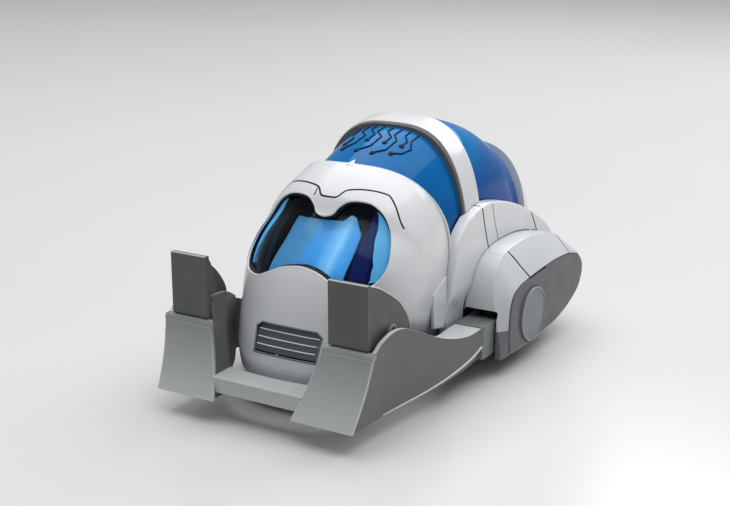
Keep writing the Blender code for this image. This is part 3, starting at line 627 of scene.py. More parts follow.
def coordinate(tree, place, axis):
    made = tree.nodes.new("ShaderNodeSeparateXYZ")
    tree.links.new(place, made.inputs["Vector"])
    return made.outputs[axis]


def blend_colours(tree, value, first, second):
    """A mix of two colours; the second may be a socket."""
    made = tree.nodes.new("ShaderNodeMix")
    made.data_type = "RGBA"
    ends = [i for i in made.inputs if i.type == "RGBA"]
    ends[0].default_value = (*first, 1.0)
    if isinstance(second, tuple):
        ends[1].default_value = (*second, 1.0)
    else:
        tree.links.new(second, ends[1])
    factor = [i for i in made.inputs if i.name == "Factor" and i.type == "VALUE"][0]
    tree.links.new(value, factor)
    return [o for o in made.outputs if o.type == "RGBA"][0]


def add_bump(tree, shader, height, strength, distance):
    made = tree.nodes.new("ShaderNodeBump")
    made.inputs["Strength"].default_value = strength
    made.inputs["Distance"].default_value = distance
    tree.links.new(height, made.inputs["Height"])
    tree.links.new(made.outputs["Normal"], shader.inputs["Normal"])


def plastic(name, colour, roughness, grain=900.0, bump=0.10, coat=0.0, tone=0.06, shine=0.5,
            low=None, glow=0.0):
    """Moulded plastic: a faint flow pattern in its colour and gloss, and a fine surface grain.

    low is an optional (colour, z from, z to): painted light and shade, a colour that the piece takes on
    towards its foot.
    """
    made, tree, shader, place = new_material(name)
    flow = noise(tree, place, 26.0)
    darker = tuple(v * (1 - tone) for v in colour)
    lighter = tuple(min(1.0, v * (1 + tone)) for v in colour)
    shade = blend_colours(tree, spread(tree, flow, 0.0, 1.0), darker, lighter)
    if low:
        # painted light and shade: towards its foot the piece blends into this colour
        painted_foot_shading, foot_z, head_z = low
        height = spread(tree, coordinate(tree, place, "Z"), 0.0, 1.0, foot_z * MM, head_z * MM)
        shade = blend_colours(tree, height, painted_foot_shading, shade)
    tree.links.new(shade, shader.inputs["Base Color"])
    # painted light: the colour glows, though the piece is no lamp
    if glow:
        tree.links.new(shade, shader.inputs["Emission Color"])
        shader.inputs["Emission Strength"].default_value = glow
    rubbed = noise(tree, place, 140.0, 6.0, 0.65)
    tree.links.new(
        spread(tree, rubbed, roughness * 0.85, roughness * 1.15), shader.inputs["Roughness"]
    )
    shader.inputs["Specular IOR Level"].default_value = shine
    shader.inputs["Coat Weight"].default_value = coat
    shader.inputs["Coat Roughness"].default_value = 0.06
    add_bump(tree, shader, noise(tree, place, grain, 2.0), bump, 0.00006)
    return made


def tinted_plastic(name, deep, lit_top, transmission, low_z, high_z, ior):
    """Clear blue plastic, deeper in colour towards its foot and paler towards its top, a painted
    highlight, and in slow streaks.
    """
    made, tree, shader, place = new_material(name)
    # painted highlight: the glass pales towards its top
    height = spread(tree, coordinate(tree, place, "Z"), 0.0, 1.0, low_z * MM, high_z * MM)
    streaks = noise(tree, place, 34.0, 2.0, 0.4)
    both = tree.nodes.new("ShaderNodeMath")
    both.operation = "MULTIPLY_ADD"
    tree.links.new(height, both.inputs[0])
    both.inputs[1].default_value = 0.75
    tree.links.new(spread(tree, streaks, -0.05, 0.3), both.inputs[2])
    tree.links.new(blend_colours(tree, both.outputs["Value"], deep, lit_top), shader.inputs["Base Color"])
    tree.links.new(
        spread(tree, noise(tree, place, 90.0), 0.02, 0.07), shader.inputs["Roughness"]
    )
    shader.inputs["Transmission Weight"].default_value = transmission
    shader.inputs["IOR"].default_value = ior
    return made


def screen_film(name):
    """The visor's film: pale blue with one bright upright band, a painted highlight, and softer steps
    beside it, painted light and shade; the film also glows, painted light.
    """
    made, tree, shader, place = new_material(name)
    ramp = tree.nodes.new("ShaderNodeValToRGB")
    across = spread(tree, coordinate(tree, place, "X"), 0.0, 1.0, -17.0 * MM, 17.0 * MM)
    tree.links.new(across, ramp.inputs["Fac"])
    # painted light and shade across the film: greyer on the left, a bright highlight band right of the
    # middle
    painted_light_stops = [
        (0.0, (0.09, 0.26, 0.42)), (0.36, (0.10, 0.30, 0.47)), (0.38, (0.05, 0.30, 0.62)),
        (0.58, (0.05, 0.33, 0.68)), (0.70, (0.24, 0.54, 0.82)), (0.78, (0.36, 0.64, 0.88)),
        (0.86, (0.07, 0.38, 0.72)), (1.0, (0.04, 0.26, 0.62)),
    ]
    while len(ramp.color_ramp.elements) < len(painted_light_stops):
        ramp.color_ramp.elements.new(0.5)
    for element, (position, colour) in zip(ramp.color_ramp.elements, painted_light_stops):
        element.position = position
        element.color = (*colour, 1.0)
    tree.links.new(ramp.outputs["Color"], shader.inputs["Base Color"])
    # painted light: the film glows
    tree.links.new(ramp.outputs["Color"], shader.inputs["Emission Color"])
    shader.inputs["Emission Strength"].default_value = 0.42
    tree.links.new(spread(tree, noise(tree, place, 200.0), 0.15, 0.3), shader.inputs["Roughness"])
    return made


def brushed_metal(name, colour, roughness):
    made, tree, shader, place = new_material(name)
    stretch = tree.nodes.new("ShaderNodeMapping")
    stretch.inputs["Scale"].default_value = (0.08, 1.0, 1.0)
    tree.links.new(place, stretch.inputs["Vector"])
    lines = noise(tree, stretch.outputs["Vector"], 2400.0, 3.0)
    tree.links.new(
        blend_colours(tree, spread(tree, lines, 0.0, 1.0), tuple(v * 0.85 for v in colour), colour),
        shader.inputs["Base Color"],
    )
    tree.links.new(spread(tree, lines, roughness * 0.7, roughness * 1.4), shader.inputs["Roughness"])
    shader.inputs["Metallic"].default_value = 1.0
    add_bump(tree, shader, lines, 0.08, 0.00003)
    return made


def circuit_board(name):
    """Green solder mask with a faint grid of tracks and tinned pads."""
    made, tree, shader, place = new_material(name)
    cells = tree.nodes.new("ShaderNodeTexVoronoi")
    cells.feature = "F1"
    cells.distance = "CHEBYCHEV"
    cells.inputs["Scale"].default_value = 320.0
    tree.links.new(place, cells.inputs["Vector"])
    pads = spread(tree, cells.outputs["Distance"], 1.0, 0.0, 0.12, 0.18)
    shade = blend_colours(tree, pads, (0.01, 0.11, 0.045), (0.5, 0.5, 0.45))
    tree.links.new(shade, shader.inputs["Base Color"])
    tree.links.new(spread(tree, pads, 0.45, 0.25, 0.0, 1.0), shader.inputs["Roughness"])
    add_bump(tree, shader, pads, 0.3, 0.0001)
    return made


finishes = {
    # painted shade: the white shell turns grey towards its foot
    "white": plastic(
        "white shell", (0.80, 0.815, 0.835), 0.24, 500.0, 0.015, coat=0.4, tone=0.01,
        low=((0.50, 0.52, 0.56), 14.0, 62.0),
    ),
    # painted light: the fork's grey turns paler towards its foot
    "light_grey": plastic(
        "light grey fork", (0.27, 0.285, 0.29), 0.36, 1500.0, 0.12,
        low=((0.52, 0.54, 0.545), 8.0, 36.0),
    ),
    # painted highlight: the blade's roll is a paler grey than the blade
    "roll_highlight_grey": plastic("blade roll", (0.40, 0.42, 0.425), 0.34, 1500.0, 0.12),
    "arm_grey": plastic("grey arm", (0.20, 0.215, 0.215), 0.38, 1500.0, 0.16),
    # painted highlight: pale beads, ledges and rings along the edges of the fork, jaws and hubs
    "highlight_grey": plastic("pale edge", (0.62, 0.64, 0.64), 0.3, 1500.0, 0.1),
    "cheek_grey": plastic("mid grey cheek", (0.115, 0.120, 0.122), 0.42, 1600.0, 0.18),
    "dark_grey": plastic("dark grey jaw", (0.088, 0.091, 0.090), 0.45, 1700.0, 0.2),
    "panel_grey": plastic("slate side panel", (0.098, 0.105, 0.116), 0.40, 1500.0, 0.2),
    "vent_grey": plastic("vent slats", (0.085, 0.095, 0.105), 0.40, 1500.0, 0.2),
    "foot_grey": plastic("pod foot", (0.14, 0.145, 0.16), 0.34, 1200.0, 0.15),
    "cap_grey": plastic("grey disc", (0.20, 0.215, 0.23), 0.34, 1200.0, 0.15),
    "gasket": plastic("gasket", (0.10, 0.10, 0.105), 0.5, 1500.0, 0.2),
    # pale trim for the rear trim band; on the vent's slat noses it is a painted highlight
    "trim": plastic("pale trim", (0.80, 0.81, 0.82), 0.35, 1200.0, 0.1),
    "black": plastic("black plastic", (0.004, 0.004, 0.007), 0.45, 1200.0, 0.1, shine=0.2),
    "seam": plastic("seam shadow", (0.03, 0.032, 0.038), 0.6, 1200.0, 0.1, shine=0.2),
    # painted shade: near-black for the faces inside shells, hollows and slots
    "inside_shade": plastic("inside faces", (0.004, 0.006, 0.016), 0.5, 900.0, 0.1, shine=0.2),
    # painted light: the navy liner glows, though it is no lamp
    "navy": plastic("navy liner", (0.004, 0.008, 0.10), 0.4, 900.0, 0.05, shine=0.2, glow=0.25),
    # painted reflection: pale blue strips at the lens's ends, which also glow
    "glint_blue": plastic("light guide", (0.09, 0.36, 0.66), 0.4, 900.0, 0.05, shine=0.2, glow=0.35),
    "rib_blue": plastic("blue rib", (0.03, 0.27, 0.66), 0.3, 900.0, 0.05),
    "deck_blue": plastic("cabin deck", (0.002, 0.05, 0.30), 0.4, 900.0, 0.05, shine=0.2),
    "trace": plastic("circuit trace", (0.002, 0.006, 0.02), 0.5, 1200.0, 0.1, shine=0.2),
    "rubber": plastic("tyre rubber", (0.018, 0.018, 0.019), 0.75, 1100.0, 0.5, tone=0.2),
    "gear_white": plastic("acetal gears", (0.72, 0.71, 0.67), 0.42, 900.0, 0.12),
    "cell_wrap": plastic("cell wrap", (0.035, 0.045, 0.06), 0.3, 700.0, 0.05, coat=0.3),
    "steel": brushed_metal("turned steel", (0.62, 0.62, 0.64), 0.26),
    "board_green": circuit_board("circuit board"),
    "display_blue": screen_film("visor display"),
    # painted highlight: the lens is a little paler towards its top
    "visor_glass": tinted_plastic(
        "visor lens", (0.62, 0.84, 1.0), (0.66, 0.88, 1.0), 1.0, 50.0, 80.0, 1.18,
    ),
    # painted highlight: the cabin glass is paler towards its top
    "blue_glass": tinted_plastic(
        "cabin glass", (0.0, 0.066, 0.36), (0.003, 0.26, 0.66), 0.22, 62.0, 101.0, 1.22,
    ),
}


# ---------------------------------------------------------------- head

def fender_room(side, name):
    room = plate(inner_outline(FENDER, -0.3), FENDER_INNER_X - 0.3, BESIDE)
    return helper("fender_room_" + name, mirror_solid(room, side))


def flank_wedge():
    """What is shaved off the hood's flank behind a soft upright crease."""
    rings = []
    for y in [mix(-25.5, -10.5, k / 10) for k in range(11)]:
        heights = [mix(6.0, 86.0, k / 30) for k in range(31)]
        fall = 0.075 * (y + 25.5)
        ring = [(skin_x(HEAD, y, z) - fall * ease(z, 90.0, 70.0) + 0.01, y, z) for z in heights]
        rings.append(ring + [(BESIDE, y, 86.0), (BESIDE, y, 6.0)])
    return loft(rings)


def build_head(rooms):
    edge = curve(HOOD_EDGE, 6)
    region = [(-BEYOND, FLOOR_CLEARANCE), (-BEYOND, BEYOND), (-31.0, BEYOND)] + edge
    hood = add("head_shell", egg(HEAD), "white")
    # painted shade: the hood's inside faces take the near-black inside colour
    cut(hood, helper("head_inside", egg(HEAD, WALL), "inside_shade"))
    keep(hood, helper("head_region", plate(region, -BESIDE, BESIDE), "white"))
    visor = closed_spline(mirrored(VISOR), 6)
    cut(hood, helper("visor_cut", front_prism(visor, -110.0, -28.0), "black"))
    cut(hood, helper("vent_cut", front_prism(inset(VENT, -0.35), -110.0, -60.0), "seam"))
    cut(hood, *rooms)
    for side in (1, -1):
        cut(hood, helper(f"flank_{side}", mirror_solid(flank_wedge(), side), "white"))
        brow = [on_head(x * side, z, 0.05) for x, z in resampled(curve(BROW, 6), 60)]
        cut(hood, helper(f"brow_{side}", tube(brow, 0.42, 8), "seam"))
    tick = [on_head(-6.6, z, 0.0) for z in (79.6, 80.4, 81.2, 82.0)]
    cut(hood, helper("tick", tube(tick, 0.3, 8), "seam"))
    settle(hood, "chassis", ["hood_shell"], "white")

    rim = [on_head(x, z, 0.42) for x, z in inset(visor, -0.12)]
    settle(add("visor_rim", tube(rim, 0.5, 10, closed=True), "white"), "chassis", (), "white")
    back = []
    for y, z in resampled(curve(HOOD_EDGE[:9], 8), 90):
        back.append((skin_x(HEAD, y, z, 0.42), y + 0.05, z))
    path = [(-x, y, z) for x, y, z in reversed(back[1:])] + back
    middle = len(back) - 1
    path[middle] = (0.0, *path[middle][1:])
    settle(add("hood_rim", tube(path, 0.5, 10), "white"), "chassis", (), "white")
    tab = [(-1.8, -31.0), (1.8, -31.0), (0.0, -26.6)]
    tab_rings = [[(x, y, 88.4 + 0.36 * (y + 31.0) + lift) for x, y in tab] for lift in (0.0, 1.2)]
    settle(bevel(add("hood_tab", loft(tab_rings), "white"), 0.25), "chassis", (), "white")
    for name, side in SIDES.items():
        gusset = [(-15.8, 45.4), (-27.4, 40.0), (-26.4, 25.4), (-18.0, 23.5), (-15.8, 30.0)]
        plate_solid = mirror_solid(plate(gusset, 35.0, 36.75), side)
        settle(bevel(add("gusset_" + name, plate_solid, "white"), 0.6), "chassis", (), "white")
    build_visor(visor)
    build_vent()


def visor_rings(visor, depth, shares):
    cx, cz = VISOR_CENTRE
    rings = []
    for share in shares:
        ring = [(cx + (x - cx) * share, cz + (z - cz) * share) for x, z in visor]
        rings.append([on_head(x, z, depth) for x, z in ring])
    return rings


def build_visor(visor):
    inner = inset(visor, 1.0)

    def frame_ring(reach, depth):
        """A ring of the black frame, which is narrow at the foot and broad over the brow."""
        ring = []
        for (x, z), (ix, iz) in zip(visor, inner):
            wide = reach * (mix(0.35, 1.5, ease(z, 60.0, 76.0)) if reach > 0 else 1.0)
            ring.append(on_head(mix(x, ix, wide), mix(z, iz, wide), depth))
        return ring

    frame_rings = [
        frame_ring(i, d)
        for i, d in ((-0.2, 0.9), (0.4, 1.0), (0.9, 1.5), (1.0, 2.9), (0.8, 3.3), (-0.5, 3.3), (-0.5, 1.7))
    ]
    bezel = add("visor_frame", loft(frame_rings, closed=True), "black")
    settle(bezel, "chassis", ["visor_bezel"], "black")
    outward = [0.02] + [i / 14 for i in range(1, 15)]
    rings = visor_rings(visor, 2.4, outward) + visor_rings(visor, 3.2, list(reversed(outward)))
    lens = add("visor_glass", loft(rings), "visor_glass")
    settle(lens, "chassis", ["visor_lens"], "blue_glass")

    sheet = []
    for k in range(17):
        ends = []
        for c in [mix(-1.0, 1.0, i / 48) for i in range(49)]:
            z = mix(DISPLAY_FOOT, along(DISPLAY_TOP, c), k / 16)
            ends.append((mix(16.8, 15.4, (z - DISPLAY_FOOT) / 20.0) * c, z))
        depth = mix(3.8, 8.4, ease(k / 16, 0.0, 0.75))
        outer = [on_head(x, z, depth) for x, z in ends]
        sheet.append(outer + [on_head(x, z, depth + 0.8) for x, z in reversed(ends)])
    settle(add("visor_display", loft(sheet), "display_blue"), "chassis", ["display_panel"], "display_blue")
    # the black hollow behind the lens, painted shade for the dark inside of the head, with a liner and a
    # pale glowing strip at each end: the left liner's navy glow is painted light, the strips are painted
    # reflections
    bowl = ((1.04, 3.5), (1.02, 5.5), (0.98, 8.5), (0.92, 12.0), (0.8, 14.8), (0.5, 15.6), (0.02, 15.6))
    rings = [visor_rings(visor, depth, [share])[0] for share, depth in reversed(bowl)]
    rings += [visor_rings(visor, depth + 0.9, [share])[0] for share, depth in bowl]
    hollow = add("visor_hollow", loft(rings), "black")
    settle(hollow, "chassis", (), "black")
    for side, name in ((1, "left"), (-1, "right")):
        wall = []
        for z in [mix(51.6, 77.0, k / 14) for k in range(15)]:
            row = [(side * x, head_y(x, z, 5.0 + (x - 18.5) * 0.2), z) for x in (18.5, 21.0, 23.5)]
            row += [(side * x, head_y(x, z, 8.5), z) for x in (23.5, 21.0, 18.5)]
            wall.append(row)
        # painted light: the left liner glows navy
        finish = "navy" if side > 0 else "black"
        settle(add("visor_liner_" + name, loft(wall), finish), "chassis", (), "black")
        # painted reflection: a pale glowing strip along the lens's end
        glint_strip = []
        for z in [mix(52.4, 75.6, k / 24) for k in range(25)]:
            reach = along(VISOR_REACH, z) - 0.25
            wide = mix(1.6, 5.2, math.sin(math.pi * min(1.0, (z - 50.0) / 27.5)))
            xs = [reach - wide * k / 3 for k in range(4)]
            row = [on_head(side * x, z, 2.15) for x in reversed(xs)]
            glint_strip.append(row + [on_head(side * x, z, 2.6) for x in xs])
        settle(add("visor_guide_" + name, loft(glint_strip), "glint_blue"), "chassis", (), "display_blue")


def build_vent():
    """Slats that step outwards to the foot of the vent, each with a thin bright nose, a painted highlight.
    """
    rows = [(34.2, 31.9, 1.15), (31.9, 29.2, 0.85), (29.2, 26.6, 0.55), (26.6, 24.2, 0.25)]
    pieces = []
    for top, foot, depth in rows:
        rings = []
        for x_share in [mix(-1.0, 1.0, i / 24) for i in range(25)]:
            ring = []
            for z, d in ((top, depth), (foot, depth - 0.12), (foot, 2.6), (top, 2.6)):
                half = along(VENT_HALF, z) - 0.1
                ring.append(on_head(half * x_share, z, d))
            rings.append(ring)
        pieces.append(loft(rings))
    slats = add("vent_slats", merged(*pieces), "vent_grey")
    bevel(slats, 0.14, segments=2)
    settle(slats, "chassis", ["vent_grille"], "cap_grey")
    # painted highlight: a pale tube along the top of each slat
    for number, (top, _, depth) in enumerate(rows):
        half = along(VENT_HALF, top - 0.15) - 0.9
        path = [on_head(half * mix(-1, 1, i / 30), top - 0.1, depth - 0.08) for i in range(31)]
        settle(add(f"vent_nose_{number + 1}", tube(path, 0.25, 8), "trim"), "chassis", (), "cap_grey")
    border = [on_head(x, z, 0.12) for x, z in resampled(VENT + VENT[:1], 120)[:-1]]
    settle(add("vent_border", tube(border, 0.3, 8, closed=True), "cap_grey"), "chassis", (), "cap_grey")


# ---------------------------------------------------------------- cabin

def build_cabin(rooms):
    """The glazed skins and the tail, then the arch, its gasket and the trim between them."""
    edge = [(y + GAP, z) for y, z in curve(HOOD_EDGE, 6)]
    screen = [(-31.0 + GAP, BEYOND)] + [p for p in edge if p[1] > 53.0]
    screen += [(-12.4 + GAP, 53.5), (ARCH_Y[0] - 0.1, 62.0), (ARCH_Y[0] - 0.1, BEYOND)]
    rear_y = (ARCH_Y[1] + 0.1, TRIM_Y[0] - 0.1)
    rear = [(rear_y[0], 46.0), (rear_y[1], 46.0), (rear_y[1], BEYOND), (rear_y[0], BEYOND)]
    tail_y = TRIM_Y[1] + 0.2
    tail = [(tail_y, FLOOR_CLEARANCE), (BEYOND, FLOOR_CLEARANCE), (BEYOND, BEYOND), (tail_y, BEYOND)]
    skins = (
        (CABIN, "windscreen_glass", "windscreen", "blue_glass", 0.9, 1.2, screen),
        (CABIN_REAR, "rear_glass", "rear_window", "blue_glass", 1.7, 1.2, rear),
        (CABIN_TAIL, "tail_cap", "rear_cap", "white", 0.3, WALL, tail),
    )
    for shape, name, node, finish, depth, thickness, region in skins:
        piece = add(name, egg(shape, depth), finish)
        # painted shade: the tail cap's inside faces are near-black
        inside = finish if finish == "blue_glass" else "inside_shade"
        cut(piece, helper(name + "_inside", egg(shape, depth + thickness), inside))
        keep(piece, helper(name + "_region", plate(region, -BESIDE, BESIDE), finish))
        cut(piece, *rooms)
        settle(piece, "chassis", [node], finish)

    rows = [ARCH_Y[0] + 1.1, ARCH_Y[0] + 2.5, 7.5, 10.5, 13.0, ARCH_Y[1]]
    arch = add("arch_band", hoop(CABIN_ARCH, rows, -0.75, 2.4, 62.0), "white")
    bevel(arch, 0.55)
    cut(arch, *rooms)
    settle(arch, "chassis", ["roll_arch"], "white")
    rows = [ARCH_Y[0] - 0.6, ARCH_Y[0] + 1.0]
    gasket = add("gasket_band", hoop(CABIN_ARCH, rows, -0.25, 2.4, 62.0), "gasket")
    bevel(gasket, 0.3)
    cut(gasket, *rooms)
    settle(gasket, "chassis", ["arch_gasket"], "dark_grey")
    rows = [TRIM_Y[0], TRIM_Y[0] + 1.0, TRIM_Y[1]]
    trim = add("trim_band", hoop(CABIN_TAIL, rows, -0.1, 3.6, 46.0), "trim")
    bevel(trim, 0.35)
    cut(trim, *rooms)
    settle(trim, "chassis", ["rear_trim"], "light_grey")
    build_traces()
    build_inside_cabin()


def on_cabin(x, y, depth):
    """The top of the cabin at (x, y)."""
    spine_y, spine_z = CABIN["spine"]
    z = spine_z + 40.0
    for _ in range(12):
        shrink = shrink_at(CABIN, x, z, depth)
        z = spine_z + shrink * (along(TOP_OF_CABIN, spine_y + (y - spine_y) / shrink) - depth - spine_z)
    return (x, y, z)


def build_traces():
    """A made-up circuit: tracks that run down from the arch in short slanted jogs to round pads."""
    tracks = [
        [(-15.0, 0.8), (-16.5, -4.0), (-13.0, -8.5), (-15.5, -12.0)],
        [(-10.5, 0.8), (-12.0, -3.0), (-7.5, -7.0), (-9.0, -13.0), (-13.5, -16.5)],
        [(-6.5, 0.8), (-7.5, -2.0), (-3.0, -6.0), (-4.0, -10.5)],
        [(-2.0, 0.8), (-3.0, -3.5), (1.5, -7.0), (0.5, -14.5), (-4.5, -18.5)],
        [(3.0, 0.8), (2.0, -2.5), (6.5, -6.5), (6.0, -11.0)],
        [(8.0, 0.8), (7.0, -4.5), (10.5, -8.0), (9.5, -15.5), (4.5, -19.0)],
        [(12.5, 0.8), (12.0, -3.0), (15.0, -6.0), (14.5, -10.0)],
        [(17.0, 0.8), (16.5, -5.0), (19.0, -9.0), (17.0, -14.0), (13.0, -16.5)],
    ]
    solids = []
    for wide_track in tracks:
        track = [(x * 0.86 - 0.6, y) for x, y in wide_track]
        path = []
        for a, b in zip(track, track[1:]):
            path += [on_cabin(mix(a[0], b[0], t / 6), mix(a[1], b[1], t / 6), 0.72) for t in range(6)]
        path.append(on_cabin(*track[-1], 0.72))
        solids.append(tube(path, 0.3, 8))
        x, y = track[-1]
        pad = []
        for radius, depth in ((0.05, 0.45), (0.85, 0.5), (1.1, 0.75), (1.1, 1.1), (0.05, 1.1)):
            pad.append([on_cabin(px, py, depth) for px, py in circle((x, y), radius, 20)])
        solids.append(loft(pad))
    settle(add("circuit_traces", merged(*solids), "trace"), "chassis", (), "black")


def build_inside_cabin():
    """A dark deck under the glass, and paler ribs that follow it."""
    deck = [
        (-16.0, 64.0), (-10.0, 72.0), (6.0, 79.0), (24.0, 80.0), (44.0, 76.0), (60.0, 66.0), (64.0, 58.0),
    ]
    rings = []
    for y, z in curve(deck, 4):
        half = min(27.0, skin_x(CABIN, y, z, 4.0))
        section = [(-half, z - 4.0), (-half, z - 1.5), (-half * 0.8, z)]
        section += [(-x, tall) for x, tall in reversed(section)]
        rings.append([(x, y, tall) for x, tall in section])
    settle(bevel(add("cabin_deck", loft(rings), "deck_blue"), 0.5), "chassis", (), "black")
    for number, (y, low) in enumerate(((-6.5, 72.0), (28.0, 72.0), (46.0, 68.0))):
        rows = [y, y + 1.6]
        rib = add(f"cabin_rib_{number + 1}", hoop(CABIN, rows, 3.0, 4.6, low), "rib_blue")
        settle(bevel(rib, 0.3), "chassis", (), "display_blue")


# ---------------------------------------------------------------- fenders and pods

def fender_x(y, z):
    return mix(36.4, 38.9, ease(z, 29.0, 38.0))


def crease_x(y, z):
    return mix(54.0, 47.6, ease(z, 8.0, 48.0))


def chamfer_point(y, z):
    """A point of a pod's slanted face: between its crease at t = 0 and the panel's edge at t = 1."""
    body = outline(POD)
    panel = outline(PANEL)
    best = None
    for b, p in zip(body, panel):
        for k in range(21):
            t = k / 20
            at = (mix(b[0], p[0], t), mix(b[1], p[1], t))
            miss = math.hypot(at[0] - y, at[1] - z)
            if best is None or miss < best[0]:
                best = (miss, mix(crease_x(*b), LIP_X, t))
    return best[1]


def domed_edge(sections, x, width, drop, steps=6):
    """Rings of a rounded edge, from the flat face at x down its outside; x may be a function."""
    place = x if callable(x) else (lambda y, z: x)
    rings = []
    for k in range(1, steps + 1):
        turn = math.pi / 2 * k / steps
        fall = drop * (1 - math.cos(turn))
        ring = inner_outline(sections, width * (1 - math.sin(turn)))
        rings.append(side_ring(ring, lambda y, z, fall=fall: place(y, z) - fall))
    return rings


def flat_face(sections, depth, x, shares=(0.02, 0.2, 0.4, 0.6, 0.8, 0.93, 1.0)):
    """Rings that fill a side face from its middle out to its inset outline."""
    rim_line = inner_outline(sections, depth)
    return [side_ring(shrunk(rim_line, share), x) for share in shares]


def build_fender(side, name):
    def inner_x(y, z):
        return fender_x(y, z) - 2.2

    rings = flat_face(FENDER, 1.5, fender_x) + domed_edge(FENDER, fender_x, 1.5, 1.7)
    rings += [
        side_ring(outline(FENDER), FENDER_INNER_X + 0.6),
        side_ring(inner_outline(FENDER, 0.6), FENDER_INNER_X),
        side_ring(inner_outline(FENDER, 2.4), FENDER_INNER_X),
    ]
    rings += list(reversed(flat_face(FENDER, 2.8, inner_x, (0.02, 0.5, 1.0))))
    piece = add("fender_skin_" + name, mirror_solid(loft(rings), side), "white")
    room = plate(inner_outline(POD, -GAP), POD_INNER_X - GAP, BESIDE)
    cut(piece, helper("pod_room_" + name, mirror_solid(room, side), "seam"))
    hole = plate(circle((AXLE_Y, AXLE_Z), 6.6), 30.0, BESIDE)
    cut(piece, helper("fender_hole_" + name, mirror_solid(hole, side), "seam"))
    seams = (
        ([(10.0, 69.4), (12.0, 63.0), (15.0, 54.5), (18.0, 47.6)], 0.42),
        ([(19.4, 69.4), (21.8, 62.0), (25.0, 54.0), (27.4, 48.6)], 0.24),
        ([(59.0, 57.6), (63.2, 51.0), (68.5, 43.0)], 0.38),
    )
    for number, (path, radius) in enumerate(seams):
        line = [(side * (fender_x(y, z) + 0.02), y, z) for y, z in resampled(curve(path, 8), 24)]
        cut(piece, helper(f"fender_seam_{name}_{number}", tube(line, radius, 8), "seam"))
        y, z = path[0][0], path[0][1] - 1.0
        over = [(side * x, y + 0.4, z + 0.35) for x in (39.6, 36.0, 33.0)]
        cut(piece, helper(f"fender_seam_over_{name}_{number}", tube(over, radius, 8), "seam"))
    settle(piece, "chassis", ["fender_" + name], "white")


def pod_solid(grow=0.0):
    """The outside of a wheel pod, with a slanted face between its crease and its side panel."""
    body = inner_outline(POD, -grow)
    lip = inner_outline(PANEL, -0.5)
    rings = flat_face(PANEL, 0.6, 53.2, (0.02, 0.5, 1.0))
    rings += [
        side_ring(inner_outline(PANEL, -0.12), 53.3),
        side_ring(inner_outline(PANEL, -0.14), LIP_X - 0.25),
        side_ring(lip, LIP_X + grow),
    ]
    for t in (0.33, 0.67):
        ring = []
        for b, p in zip(body, lip):
            x = mix(LIP_X, crease_x(*b), t) + 0.15 + grow
            ring.append((x, mix(p[0], b[0], t), mix(p[1], b[1], t)))
        rings.append(ring)
    rings += [
        side_ring(body, lambda y, z: crease_x(y, z) + grow),
        side_ring(body, lambda y, z: mix(crease_x(y, z), POD_BACK_X, 0.5)),
        side_ring(body, POD_BACK_X),
        side_ring(body, POD_INNER_X + 1.0),
        side_ring(inner_outline(POD, 0.5 - grow), POD_INNER_X),
    ]
    rings += list(reversed(flat_face(POD, 3.0, POD_INNER_X, (0.02, 0.5, 1.0))))
    return loft(rings)


